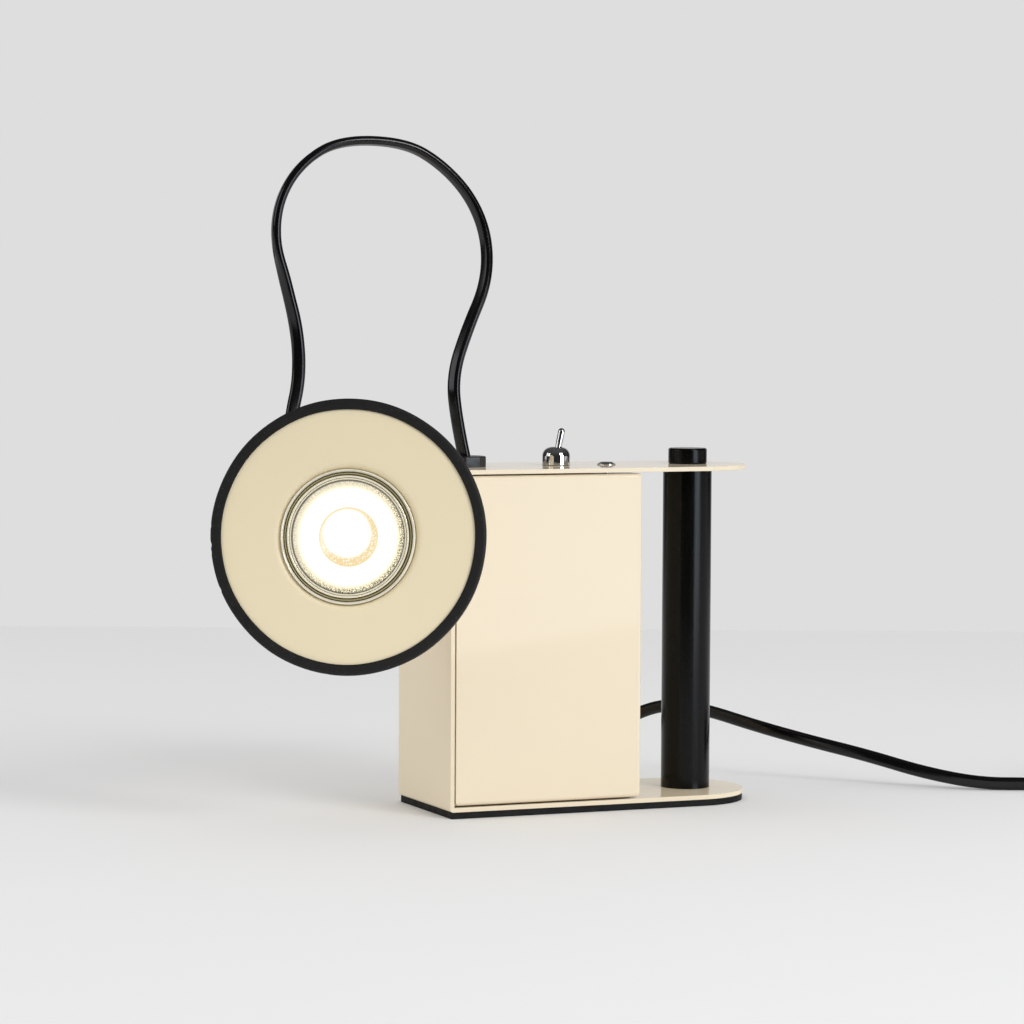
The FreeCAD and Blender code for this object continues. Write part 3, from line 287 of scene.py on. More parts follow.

# %% [markdown]
# ## Small tools for shapes
#
# Almost everything that has to be remade is either turned or drawn along a line. `lathe` turns
# a half outline round an axis. Corners of the outline can carry a radius, because no real edge
# is perfectly sharp and the little round is what catches the light. `skinned` joins a row of
# equal rings, which serves both the cords and the plug. `finished` gives a new mesh its smooth
# shading, its material and the body that it rides on.

# %% Helpers for turned shapes
ARC_STEPS = 4
LONGEST_REACH = 0.45


def softened(outline):
    """Replaces each (r, z, radius) corner of an outline by a short arc."""
    made = []
    count = len(outline)
    for i, corner in enumerate(outline):
        here = Vector(corner[:2])
        if len(corner) < 3:
            made.append(here)
            continue
        before, after = Vector(outline[i - 1][:2]), Vector(outline[(i + 1) % count][:2])
        come, leave = (before - here), (after - here)
        reach = min(corner[2], LONGEST_REACH * come.length, LONGEST_REACH * leave.length)
        start, stop = here + come.normalized() * reach, here + leave.normalized() * reach
        for k in range(ARC_STEPS + 1):
            t = k / ARC_STEPS
            made.append(start * (1 - t) ** 2 + here * 2 * t * (1 - t) + stop * t**2)
    return made


def to_mesh(mesh_maker, name, place):
    """Turns the faces made so far into a mesh at its place, with all of them facing outwards."""
    bmesh.ops.recalc_face_normals(mesh_maker, faces=mesh_maker.faces)
    mesh = bpy.data.meshes.new(name)
    mesh_maker.to_mesh(mesh)
    mesh_maker.free()
    mesh.transform(place)
    return mesh


def lathe(name, outline, place, steps=192):
    """Turns a closed half outline, in millimetres, round the Z axis of place."""
    mesh_maker = bmesh.new()
    rings = []
    for r, z in softened(outline):
        if r < 1e-4:
            rings.append([mesh_maker.verts.new((0, 0, z / 1000))] * steps)
            continue
        angles = [2 * math.pi * k / steps for k in range(steps)]
        ring = [(r * math.cos(a) / 1000, r * math.sin(a) / 1000, z / 1000) for a in angles]
        rings.append([mesh_maker.verts.new(point) for point in ring])
    for first, second in zip(rings, rings[1:] + rings[:1]):
        for k in range(steps):
            corners = [first[k], first[(k + 1) % steps], second[(k + 1) % steps], second[k]]
            unique = list(dict.fromkeys(corners))
            if len(unique) > 2:
                mesh_maker.faces.new(unique)
    return to_mesh(mesh_maker, name, place)


print("outlines get arcs of", ARC_STEPS, "steps at their soft corners")


# %% Helpers for skinned shapes and for placing
def skinned(name, rings, place):
    """Skins a row of equal rings of points and closes both ends."""
    mesh_maker = bmesh.new()
    rows = [[mesh_maker.verts.new(point) for point in ring] for ring in rings]
    count = len(rows[0])
    for first, second in zip(rows, rows[1:]):
        for k in range(count):
            after = (k + 1) % count
            mesh_maker.faces.new((first[k], first[after], second[after], second[k]))
    mesh_maker.faces.new(rows[0])
    mesh_maker.faces.new(rows[-1])
    return to_mesh(mesh_maker, name, place)


def finished(name, mesh, material, body, smooth=35):
    """Links a mesh as a piece of the lamp."""
    mesh.polygons.foreach_set("use_smooth", [True] * len(mesh.polygons))
    mesh.set_sharp_from_angle(angle=math.radians(smooth))
    mesh.materials.append(material)
    piece = bpy.data.objects.new(name, mesh)
    bpy.context.scene.collection.objects.link(piece)
    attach(piece, body)
    return piece


def upright_at(x, y, z):
    """A place in millimetres whose Z axis points up."""
    return Matrix.Translation(Vector((x, y, z)) / 1000)


BALL_CENTRE = (-103.7, 0, 119.9)
HEAD_TURN, HEAD_LEAN = math.radians(-27.5), math.radians(84.2)
HEAD = upright_at(*BALL_CENTRE)
HEAD = HEAD @ Matrix.Rotation(HEAD_TURN, 4, "Z") @ Matrix.Rotation(HEAD_LEAN, 4, "X")
print("the head's axis starts at the ball's centre", BALL_CENTRE)

# %% [markdown]
# ## The cords' lines
#
# A flat two-core cord leaves the roof, stands up in a springy loop and comes down behind the
# head. The mains lead leaves the back of the box, curls round to the right and runs off over
# the table. Each is one smooth NURBS curve that is led by a few listed points, in millimetres,
# and the swept tube later follows the points that Blender reads from the curve.

# %% Routes
LOOP_TOP = (-98.5, 11.0, 296.8)
LOOP_GLAND_SIDE = [
    (-58.0, 0.0, 154.8),
    (-62.5, 0.2, 174.3),
    (-64.0, 1.0, 193.8),
    (-56.3, 2.5, 214.3),
    (-46.6, 4.0, 234.3),
    (-45.5, 6.0, 254.3),
    (-52.2, 8.0, 272.2),
    (-66.0, 9.0, 286.8),
    (-83.5, 10.0, 296.5),
    LOOP_TOP,
]
LOOP_HEAD_SIDE = [
    (-152.0, -23.4, 151.4),
    (-143.5, -7.0, 152.8),
    (-139.0, 4.5, 156.3),
    (-135.5, 14.0, 164.3),
    (-133.0, 20.0, 175.3),
    (-129.0, 20.5, 191.8),
    (-130.3, 19.0, 211.8),
    (-136.4, 17.5, 233.8),
    (-142.4, 16.0, 253.3),
    (-140.6, 14.5, 271.3),
    (-130.8, 13.0, 286.8),
    (-113.5, 12.0, 297.1),
    LOOP_TOP,
]
MAINS_ROUTE = [
    (-5.0, 49.6, 30.8),
    (-5.0, 67.0, 30.4),
    (1.0, 82.0, 28.8),
    (15.0, 94.0, 26.8),
    (37.0, 99.0, 23.8),
    (60.0, 95.5, 23.4),
    (79.5, 84.5, 33.4),
    (93.5, 67.5, 31.8),
    (110.5, 48.0, 25.4),
    (130.0, 29.0, 19.3),
    (150.5, 9.5, 13.8),
    (170.5, -10.0, 7.0),
    (191.0, -26.5, 3.0),
    (213.0, -36.0, 3.0),
    (234.0, -47.5, 3.0),
    (254.0, -62.0, 3.0),
]
print("the loop has", len(LOOP_GLAND_SIDE), "and", len(LOOP_HEAD_SIDE), "hand-set points")

# %% [markdown]
# ## The stored coil
#
# What isn't needed of a long lead is wound up. The coil runs inwards on the table for four
# turns, climbs on to a second layer and runs outwards again, so its end leaves at the outside
# and reaches the plug without crossing any turn.

# %% Route of the coil
LYING_HEIGHT = 3.0
COIL_RADIUS, TURN_GAP, LAYER_RISE = 33.0, 6.0, 6.0
COIL_TURNS, POINTS_PER_TURN, CLIMB_ANGLE = 8, 14, 1.6
PLUG_HEIGHT = 6.8


def coil_route(arrive, heading):
    """Turns of the stored coil: in along the table, up a layer and out again."""
    outer = COIL_RADIUS + 1.5 * TURN_GAP
    inner = COIL_RADIUS - 1.5 * TURN_GAP
    inward = Vector((-heading.y, heading.x, 0))
    centre = Vector((arrive.x, arrive.y, 0)) + inward * outer
    start = math.atan2(-inward.y, -inward.x)
    whole = 2 * math.pi * COIL_TURNS - (start % (2 * math.pi))
    half = whole / 2
    points = []
    steps = round(whole / (2 * math.pi) * POINTS_PER_TURN)
    for k in range(1, steps + 1):
        gone = whole * k / steps
        inwards = min(gone, whole - gone) / half
        radius = outer + (inner - outer) * inwards
        climb = min(max((gone - half) / CLIMB_ANGLE + 0.5, 0), 1)
        angle = start + gone
        x, y = centre.x + radius * math.cos(angle), centre.y + radius * math.sin(angle)
        points.append((x, y, LYING_HEIGHT + LAYER_RISE * climb))
    return points, centre + Vector((outer, 0, 0))


arrive, before = Vector(MAINS_ROUTE[-1]), Vector(MAINS_ROUTE[-2])
COIL_ROUTE, leave = coil_route(arrive, (arrive - before).normalized())
PLUG_MOUTH = Vector((leave.x, leave.y + 30, PLUG_HEIGHT))
TAIL_ROUTE = [
    (leave.x, leave.y + 14, 8.8),
    (leave.x, leave.y + 24, 7.2),
    (leave.x, leave.y + 33, PLUG_HEIGHT),
]
print("coil turns use", len(COIL_ROUTE), "points; the plug's mouth is at", PLUG_MOUTH[:])

# %% [markdown]
# ## Sweeping the flat cord
#
# The cord is 6 mm wide and 3.9 mm thick with round edges. Its section is carried along the
# line without twisting, from a chosen direction, and then rolled: a real flat cord bends over
# its broad side, so it turns as it climbs. Each listed roll is a pair of how far along the line
# it holds, from 0 to 1, and the degrees.

# %% Helpers for a cord's line and section
CORD_WIDTH, CORD_THICKNESS, FACE_HOLLOW = 6.0, 3.9, 0.93


def cord_line(name, route):
    """Points of a smooth curve along a route given in millimetres."""
    curve = bpy.data.curves.new(name, "CURVE")
    curve.dimensions = "3D"
    curve.resolution_u = 10
    spline = curve.splines.new("NURBS")
    spline.points.add(len(route) - 1)
    for point, spot in zip(spline.points, route):
        point.co = (*(Vector(spot) / 1000), 1)
    spline.order_u = 3
    spline.use_endpoint_u = True
    holder = bpy.data.objects.new(name, curve)
    line = bpy.data.meshes.new_from_object(holder)
    points = [v.co.copy() for v in line.vertices]
    bpy.data.objects.remove(holder)
    return points


def line_length(points):
    """Length of a line of points, in the unit of the points."""
    return sum((b - a).length for a, b in zip(points, points[1:]))


def arc_angles(start, stop, steps):
    """Evenly spaced angles in radians between two given in degrees."""
    return [math.radians(start + (stop - start) * k / (steps - 1)) for k in range(steps)]


def flat_section(width, thickness, steps=9):
    """Outline of a flat cord: two round edges and two slightly hollow faces."""
    half, edge = (width - thickness) / 2, thickness / 2
    right = [(half + edge * math.cos(a), edge * math.sin(a)) for a in arc_angles(-90, 90, steps)]
    left = [(-half + edge * math.cos(a), edge * math.sin(a)) for a in arc_angles(90, 270, steps)]
    top = [(0, edge * FACE_HOLLOW)]
    bottom = [(0, -edge * FACE_HOLLOW)]
    return right + top + left + bottom


FLAT_CORD = flat_section(CORD_WIDTH, CORD_THICKNESS)
print("flat cord section of", len(FLAT_CORD), "points")


# %% Helpers for the sweep
def roll_at(rolls, fraction):
    """Smooth value of a list of (fraction, degrees)."""
    for (f0, d0), (f1, d1) in zip(rolls, rolls[1:]):
        if fraction <= f1:
            t = (fraction - f0) / (f1 - f0)
            return d0 + (d1 - d0) * t * t * (3 - 2 * t)
    return rolls[-1][1]


def swept_cord(name, points, facing, rolls, section):
    """Sweeps a section in millimetres along points; facing is the thin way at the start."""
    whole = line_length(points)
    gone = 0.0
    thin = Vector(facing)
    rings = []
    for i, point in enumerate(points):
        ahead = points[min(i + 1, len(points) - 1)] - points[max(i - 1, 0)]
        along = ahead.normalized()
        thin = (thin - along * thin.dot(along)).normalized()
        if i:
            gone += (point - points[i - 1]).length
        turned = Matrix.Rotation(math.radians(roll_at(rolls, gone / whole)), 3, along)
        through = turned @ thin
        wide = along.cross(through)
        rings.append([point + (wide * a + through * b) / 1000 for a, b in section])
    return skinned(name, rings, Matrix())


print("a roll half way between 0 and 90 degrees is", roll_at([(0, 0), (1, 90)], 0.5))

# %% [markdown]
# ## The loop cord
#
# The loop is made in two lengths that meet at its top, above the ball. On the real lamp the
# first one twists when the head pans and the second when the head tilts. Both are swept from the
# top outwards, which keeps their faces in line where they meet.

# %% Make the loop
FRONTWARDS = (-0.39, -0.92, 0.05)


def loop_half(name, route, rolls):
    """One half of the loop, swept from the top outwards, with its line."""
    points = cord_line(name + "_line", route)[::-1]
    mesh = swept_cord(name, points, FRONTWARDS, rolls, FLAT_CORD)
    return mesh, points


gland_rolls = [(0.0, 80), (0.2, 74), (0.42, 64), (0.55, 60), (0.68, 49), (1.0, 46)]
mesh, loop_gland_line = loop_half("loop_to_roof", LOOP_GLAND_SIDE, gland_rolls)
loop_to_roof = finished("loop_to_roof", mesh, jacket, "base", 60)
head_rolls = [(0.0, -80), (0.2, -86), (0.34, -95), (0.45, -132), (0.56, -158)]
head_rolls += [(0.68, -178), (1.0, -180)]
mesh, loop_head_line = loop_half("loop_to_head", LOOP_HEAD_SIDE, head_rolls)
loop_to_head = finished("loop_to_head", mesh, jacket, "head", 60)

loop_to_roof.parent = None
loop_to_head.parent = None
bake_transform(loop_to_roof)
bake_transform(loop_to_head)
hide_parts("loop_cord_box")
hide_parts("loop_cord_head")
loop_lengths = [round(line_length(line), 4) for line in (loop_gland_line, loop_head_line)]
print("loop:", " + ".join(str(length) for length in loop_lengths), "m")

# %% [markdown]
# ## The mains lead
#
# The lead is one line from the relief at the back, over the table, round its coil and up to the
# plug. It lies on its thin edge nearly all the way, so the section starts with its thin direction
# level and is only rolled a few degrees here and there.

# %% Make the mains lead
mains_line = cord_line("mains_line", MAINS_ROUTE + COIL_ROUTE + TAIL_ROUTE)
mains_rolls = [(0.0, 0), (0.08, 8), (0.13, -6), (0.17, 4), (0.2, 0), (1.0, 0)]
mesh = swept_cord("mains_lead", mains_line, (1, 0, 0), mains_rolls, FLAT_CORD)
mains_lead = finished("mains_lead", mesh, jacket, "base", 60)
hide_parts("mains_cord", "mains_coil")
print("mains lead:", round(line_length(mains_line), 3), "m with", len(mains_line), "points")

# %% [markdown]
# ## The strain relief
#
# Where a cord leaves a housing it passes through a soft tapered sleeve. Rings cut into the
# sleeve let it bend. The one at the back of the box is turned here as a sleeve with five ribs
# that get smaller. The one on the head is a plain cone, which its solid already shows well.

# %% Make the relief
RIB_TOP, GROOVE_START, GROOVE_END, GROOVE_DEPTH = 0.55, 0.62, 0.93, 0.7


def ribbed_relief(name, mouth, tip, start, length, ribs, place, foot):
    """A tapered sleeve whose ribs get smaller towards its tip."""
    outline = [(0, foot[0][1]), *foot]
    step = (length - start - 2) / ribs
    for i in range(ribs):
        low = start + step * i
        radius = mouth - (mouth - tip) * (i + 0.5) / ribs
        waist = radius - GROOVE_DEPTH
        outline += [(radius, low, 0.3), (radius, low + step * RIB_TOP, 0.3)]
        outline += [(waist, low + step * GROOVE_START, 0.2), (waist, low + step * GROOVE_END, 0.2)]
    outline += [(tip + 0.1, length - 2, 0.3), (tip + 0.1, length, 0.5), (0, length)]
    return lathe(name, outline, place, 64)


back_gland = Matrix.Translation(Vector((-5.0, 30.6, 30.8)) / 1000)
back_gland = back_gland @ Matrix.Rotation(math.radians(-90), 4, "X")
foot = [(5.5, -6.5), (5.5, 0), (7.5, 0, 0.4), (7.5, 1.8, 0.6), (5.0, 2.6, 0.4)]
mesh = ribbed_relief(
    "mains_relief", mouth=4.7, tip=3.5, start=4.0, length=22.0, ribs=5, place=back_gland, foot=foot
)
mains_relief = finished("mains_relief", mesh, black_mould, "base")
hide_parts("mains_gland")
print("mains relief made with", len(mesh.polygons), "faces")

# %% [markdown]
# ## The plug
#
# A flat two-pin plug is moulded round the cord: narrow where it is held, wider at its face, with
# a few grip ridges and a ribbed tail. Its body is skinned over rounded sections, which gives
# the soft mould shape that a plain block lacks. Each row of the sections gives a height, half a
# width, half a thickness and the corners' radius. The pins carry dark insulating sleeves.

# %% Make the plug's body
def rounded_section(half_width, half_height, round_off, steps=6):
    """Corners of a rounded rectangle, counter-clockwise."""
    points = []
    for cx, cy, start in ((1, 1, 0), (-1, 1, 90), (-1, -1, 180), (1, -1, 270)):
        for a in arc_angles(start, start + 90, steps):
            x = cx * (half_width - round_off) + round_off * math.cos(a)
            y = cy * (half_height - round_off) + round_off * math.sin(a)
            points.append((x, y))
    return points


plug_place = Matrix.Translation(PLUG_MOUTH / 1000) @ Matrix.Rotation(math.radians(-90), 4, "X")
plug_stations = [
    (21.6, 6.0, 5.4, 3.0),
    (22.4, 7.0, 6.2, 3.0),
    (26, 7.6, 6.6, 3.0),
    (27, 7.9, 6.7, 2.6),
    (28, 7.2, 6.3, 2.6),
    (30, 7.9, 6.7, 2.6),
    (31, 7.3, 6.3, 2.6),
    (33, 8.1, 6.7, 2.6),
    (34, 7.6, 6.3, 2.6),
    (36, 8.6, 6.7, 2.6),
    (40, 11.0, 6.7, 2.6),
    (44, 12.9, 6.7, 2.6),
    (54.6, 12.9, 6.7, 2.6),
    (55.6, 12.5, 6.3, 2.4),
    (56.0, 11.6, 5.4, 2.0),
]
rings = [
    [(x / 1000, y / 1000, z / 1000) for x, y in rounded_section(*half_sizes)]
    for z, *half_sizes in plug_stations
]
mesh = skinned("plug_moulding", rings, plug_place)
plug_moulding = finished("plug_moulding", mesh, black_mould, "base", 50)
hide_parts("plug_body")
print("plug body made from", len(plug_stations), "sections")

# %% Make the plug's tail
TAIL_RIBS, TAIL_PITCH = 6, 3.1
tail = [(0, 0), (3.6, 0, 0.5)]
for i in range(TAIL_RIBS):
    low, radius = 2.4 + i * TAIL_PITCH, 3.7 + i * 0.26
    waist = radius - GROOVE_DEPTH
    tail += [(radius, low, 0.3), (radius, low + 1.9, 0.3)]
    tail += [(waist, low + 2.1, 0.2), (waist, low + 2.9, 0.2)]
tail += [(5.2, 21.2, 0.3), (5.2, 22, 0.1), (0, 22)]
mesh = lathe("plug_tail", tail, plug_place, 48)
plug_tail = finished("plug_tail", mesh, black_mould, "base")
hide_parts("plug_relief")
print("plug tail made with", TAIL_RIBS, "ribs")

PIN_OFFSET = 0.0093
PIN_OUTLINE = [(0, 56), (1.9, 56), (1.9, 74.0), (1.9, 75.0, 1.4), (0, 75.0)]
SLEEVE_OUTLINE = [(1.95, 55.9), (2.0, 55.9), (2.0, 65.5, 0.1), (1.95, 65.5)]


def turned_pair(name, outline):
    """The same turned shape on both sides of the plug's middle, as one mesh."""
    pair = bmesh.new()
    for side in (-1, 1):
        shift = plug_place @ Matrix.Translation((side * PIN_OFFSET, 0, 0))
        pair.from_mesh(lathe(name + "_single", outline, shift, 40))
    mesh = bpy.data.meshes.new(name)
    pair.to_mesh(mesh)
    pair.free()
    return mesh


mesh = turned_pair("plug_pin_metal", PIN_OUTLINE)
pin_metal = finished("plug_pin_metal", mesh, bright_steel, "base")
mesh = turned_pair("plug_pin_sleeves", SLEEVE_OUTLINE)
pin_sleeves = finished("plug_pin_sleeves", mesh, black_mould, "base")
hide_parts("plug_pins")

# %% [markdown]
# ## The head's skin
#
# The spun shell, the front disc and the polished ring are turned again with fine steps, because
# their round outlines are what the eye follows first. The disc rolls inwards round the bulb in
# a soft lip. The shell is one thin wall: a narrow hub that opens into the shallow pan.

# %% Make the shell and the disc
shell_outline = [
    (2.0, 13.3),
    (19, 13.3),
    (23, 13.3, 4.0),
    (23, 17.3),
    (23, 52),
    (23, 57, 5.0),
    (28, 57),
    (47.6, 57),
    (54.6, 57, 6.5),
    (54.6, 64),
    (54.6, 75.5),
    (53.4, 75.5),
    (53.4, 64.2),
    (53.4, 58.2, 5.5),
    (47.6, 58.2),
    (24, 58.2, 3.0),
    (21.8, 56),
    (21.8, 14.5, 3.0),
    (2.0, 14.5),
]
mesh = lathe("head_skin", shell_outline, HEAD)
head_skin = finished("head_skin", mesh, cream_coat, "head")
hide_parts("head_shell")

disc_outline = [
    (28.65, 72.6, 0.2),
    (29.9, 72.6, 0.2),
    (30.1, 75.6, 1.2),
    (54.5, 75.6),
    (54.5, 77.2),
    (34.2, 77.2),
    (30.7, 77.15, 2.0),
    (28.7, 75.8, 1.4),
]
mesh = lathe("front_plate", disc_outline, HEAD, 256)
front_plate = finished("front_plate", mesh, disc_coat, "head", 25)
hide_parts("front_disc")
print("head skin and front plate made")

# %% [markdown]
# ## The rubber rim
#
# A rubber edging is pushed over the rim of the pan. Rubber is never perfectly even: its edge
# waves by a tenth of a millimetre, and rough handling has left a few small nicks, most of them
# on its left side. The profile is turned first, then its vertices are nudged by two waves and
# the nicks are pressed in. Each nick is given by its angle round the rim in degrees, its depth in
# millimetres and half its width in degrees.

# %% Make the rim
rim_outline = [
    (53.7, 77.25, 0.2),
    (54.7, 77.25),
    (54.7, 70.0, 0.2),
    (57.7, 70.0, 1.0),
    (58.35, 74.5),
    (58.35, 78.0, 1.2),
    (53.7, 78.0, 0.45),
]
mesh = lathe("rim_edging", rim_outline, Matrix(), 384)
NICKS = [(184, 0.5, 1.6), (187, 0.3, 0.9), (203, 0.35, 1.2), (176, 0.25, 0.8)]
NICKS += [(36, 0.25, 0.9), (262, 0.2, 0.8)]
SLOW_WAVE, QUICK_WAVE = 0.00006, 0.00004
EDGE_RADIUS, EDGE_HEIGHT = 0.0565, 0.0755
for vertex in mesh.vertices:
    angle = math.degrees(math.atan2(vertex.co.y, vertex.co.x)) % 360
    radius = math.hypot(vertex.co.x, vertex.co.y)
    wave = SLOW_WAVE * math.sin(math.radians(angle * 3 + 40))
    wave += QUICK_WAVE * math.sin(math.radians(angle * 11))
    dent = 0.0
    for where, deep, wide in NICKS:
        away = abs((angle - where + 180) % 360 - 180)
        if away < wide and radius > EDGE_RADIUS and vertex.co.z > EDGE_HEIGHT:
            dent += deep / 1000 * (1 - away / wide)
    scale = (radius + wave - dent) / radius
    vertex.co.x *= scale
    vertex.co.y *= scale
mesh.transform(HEAD)
rim_edging = finished("rim_edging", mesh, rubber, "head")
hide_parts("rim_seal")
print("rim made with", len(NICKS), "nicks")

# %% [markdown]
# ## The polished ring
#
# Between the disc and the bulb sits a turned, polished ring: an outer bead, a narrow gold step
# between two grooves, and an inner bead. Grooves this fine stay dark, because they only see each
# other, so their shade is painted into the ring's colour as two dark bands. The ring, the lens
# and the bulb's bowl remember how far each point is from the axis, so their finish can change
# along the radius as a lathe hand would leave it.

# %% Helpers that follow the radius
def mark_radius(mesh):
    """Stores each point's distance from the Z axis, in millimetres, before the mesh is placed."""
    distance = mesh.attributes.new("axis_distance", "FLOAT", "POINT")
    for vertex in mesh.vertices:
        distance.data[vertex.index].value = math.hypot(vertex.co.x, vertex.co.y) * 1000


def stored(tree, name):
    """Reads a number that a mesh has stored at its points."""
    node = tree.nodes.new("ShaderNodeAttribute")
    node.attribute_name = name
    return node.outputs["Fac"]


def colour_ramp(tree, value, stops):
    """A colour for each value from 0 to 1, by (value, colour) stops."""
    ramp = tree.nodes.new("ShaderNodeValToRGB")
    tree.links.new(value, ramp.inputs["Fac"])
    elements = ramp.color_ramp.elements
    while len(elements) < len(stops):
        elements.new(0.5)
    for element, (where, colour) in zip(elements, stops):
        element.position = where
        element.color = (*colour, 1)
    return ramp.outputs["Color"]


def colour_steps(tree, value, low, high, stops):
    """A colour ramp whose stops are given in the same unit as value."""
    evened = [((where - low) / (high - low), colour) for where, colour in stops]
    return colour_ramp(tree, between(tree, value, 0.0, 1.0, low, high), evened)


def times(tree, first, second):
    """The product of two outputs."""
    product = tree.nodes.new("ShaderNodeMath")
    product.operation = "MULTIPLY"
    tree.links.new(first, product.inputs[0])
    tree.links.new(second, product.inputs[1])
    return product.outputs["Value"]


print("finishes can follow a point's distance from its axis")


# %% Finish of the ring
def ring_finish():
    """Bands of polish, gold and painted groove shade by their distance from the axis."""
    material, tree, shader = new_finish("turned_ring_finish", (0.8, 0.78, 0.7), 0.2, metallic=0.12)
    # The darkest colour is painted shade for the two fine grooves.
    painted_groove_shade, gold, pale = (0.03, 0.024, 0.015), (0.52, 0.44, 0.22), (0.95, 0.88, 0.68)
    glass_edge = (0.10, 0.09, 0.07)
    stops = [
        (23.5, glass_edge),
        (24.0, glass_edge),
        (24.3, pale),
        (25.7, pale),
        (25.95, painted_groove_shade),
        (26.15, painted_groove_shade),
        (26.35, gold),
        (26.95, gold),
        (27.1, painted_groove_shade),
        (27.3, painted_groove_shade),
        (27.5, (0.80, 0.74, 0.58)),
        (28.6, (0.92, 0.87, 0.72)),
    ]
    radius = stored(tree, "axis_distance")
    tree.links.new(colour_steps(tree, radius, 23.0, 30.0, stops), shader.inputs["Base Color"])
    tree.links.new(between(tree, grain(tree, 0.003), 0.09, 0.2), shader.inputs["Roughness"])
    add_bump(tree, shader, grain(tree, 0.0008), 0.000004)
    return material


ring_turned = ring_finish()
print("ring finish:", ring_turned.name)

# %% Make the ring
ring_outline = [
    (25.0, 72.5),
    (28.6, 72.5),
    (28.6, 76.4, 0.3),
    (28.35, 77.6, 0.5),
    (27.7, 77.3, 0.3),
    (27.4, 76.4),
    (27.0, 76.2),
    (26.85, 76.6),
    (26.55, 76.6),
    (26.4, 76.2),
    (26.1, 76.2),
    (25.9, 77.0, 0.3),
    (25.1, 77.2, 0.4),
    (24.95, 76.2, 0.2),
    (24.95, 72.5),
]
mesh = lathe("turned_ring", ring_outline, Matrix(), 256)
mark_radius(mesh)
mesh.transform(HEAD)
turned_ring = finished("turned_ring", mesh, ring_turned, "head", 50)
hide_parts("bulb_ring")
print("ring made")

# %% [markdown]
# ## The lit bulb
#
# The bulb is a reflector with a moulded lens: a dark glass edge, a band of tiny prisms, the
# glowing bowl, and a round eye over the light source. Modelling the glow as light that leaves
# the lens is steadier than tracing it through glass. Its colour follows the distance from the
# axis: white in the bowl, a warm ring and a dotted crescent in the eye, speckled prisms near the
# rim. Crescent and prisms are strongest at the low right, so the mesh also stores that side.

# %% The eye and the prisms
WARM = (0.78, 0.61, 0.32)
PRISM_TINTS = [
    (0.36, (0.06, 0.07, 0.05)),
    (0.44, (0.45, 0.52, 0.40)),
    (0.52, (0.9, 0.88, 0.8)),
    (0.64, (1.6, 1.5, 1.4)),
]


def with_crescent(tree, glow, radius, side, dots):
    """Adds a warm, dotted crescent inside the eye; distances are in millimetres."""
    eye = stored(tree, "eye_distance")
    inside = between(tree, radius, 1.0, 0.0, 12.3, 12.45)
    crescent = times(tree, between(tree, eye, 0.0, 1.0, 9.3, 10.8), inside)
    warmth = times(tree, crescent, between(tree, side, 0.6, 1.0, 0.1, 0.6))
    dotted = times(tree, warmth, between(tree, dots, 0.2, 1.0, 0.12, 0.5))
    return mixed(tree, dotted, glow, WARM)


def with_prisms(tree, glow, radius, side):
    """Speckles the glow near the rim; distances are in millimetres."""
    tint = colour_ramp(tree, grain(tree, 0.00042, 1.0), PRISM_TINTS)
    outer = between(tree, radius, 0.0, 1.0, 21.2, 22.4)
    band = times(tree, outer, between(tree, side, 0.3, 1.15, 0.2, 0.9))
    return mixed(tree, band, glow, tint, "MULTIPLY")


print("the lens has", len(PRISM_TINTS), "prism tints")


# %% The lens finish
GLOW_STOPS = [
    (11.7, (1.0, 0.99, 0.97)),
    (12.0, (0.90, 0.76, 0.50)),
    (12.4, (0.80, 0.60, 0.32)),
    (12.7, (1.0, 0.99, 0.97)),
    (20.2, (1.0, 0.99, 0.96)),
    (21.1, (0.98, 0.88, 0.64)),
    (21.8, (0.84, 0.75, 0.56)),
    (22.8, (0.74, 0.67, 0.52)),
    (23.3, (0.68, 0.62, 0.48)),
    (23.6, (0.16, 0.15, 0.12)),
]
GLOW_STRENGTH = 1.15
DOTS_PER_METRE = 1000


def lens_finish():
    """Light that leaves the lens, coloured by the distance from the axis."""
    material, tree, shader = new_finish(
        "glowing_lens", (0.03, 0.03, 0.03), 0.2, Specular_IOR_Level=0.25
    )
    link = tree.links.new
    radius, side = stored(tree, "axis_distance"), stored(tree, "low_right")
    place = tree.nodes.new("ShaderNodeTexCoord")
    dots = tree.nodes.new("ShaderNodeTexVoronoi")
    dots.inputs["Scale"].default_value = DOTS_PER_METRE
    dots.inputs["Randomness"].default_value = 0.6
    link(place.outputs["Object"], dots.inputs["Vector"])
    glow = colour_steps(tree, radius, 0.0, 25.0, GLOW_STOPS)
    glow = with_crescent(tree, glow, radius, side, dots.outputs["Distance"])
    link(with_prisms(tree, glow, radius, side), shader.inputs["Emission Color"])
    shader.inputs["Emission Strength"].default_value = GLOW_STRENGTH
    add_bump(tree, shader, dots.outputs["Distance"], 0.00008)
    return material


lens_glow = lens_finish()
print("lens finish:", lens_glow.name)

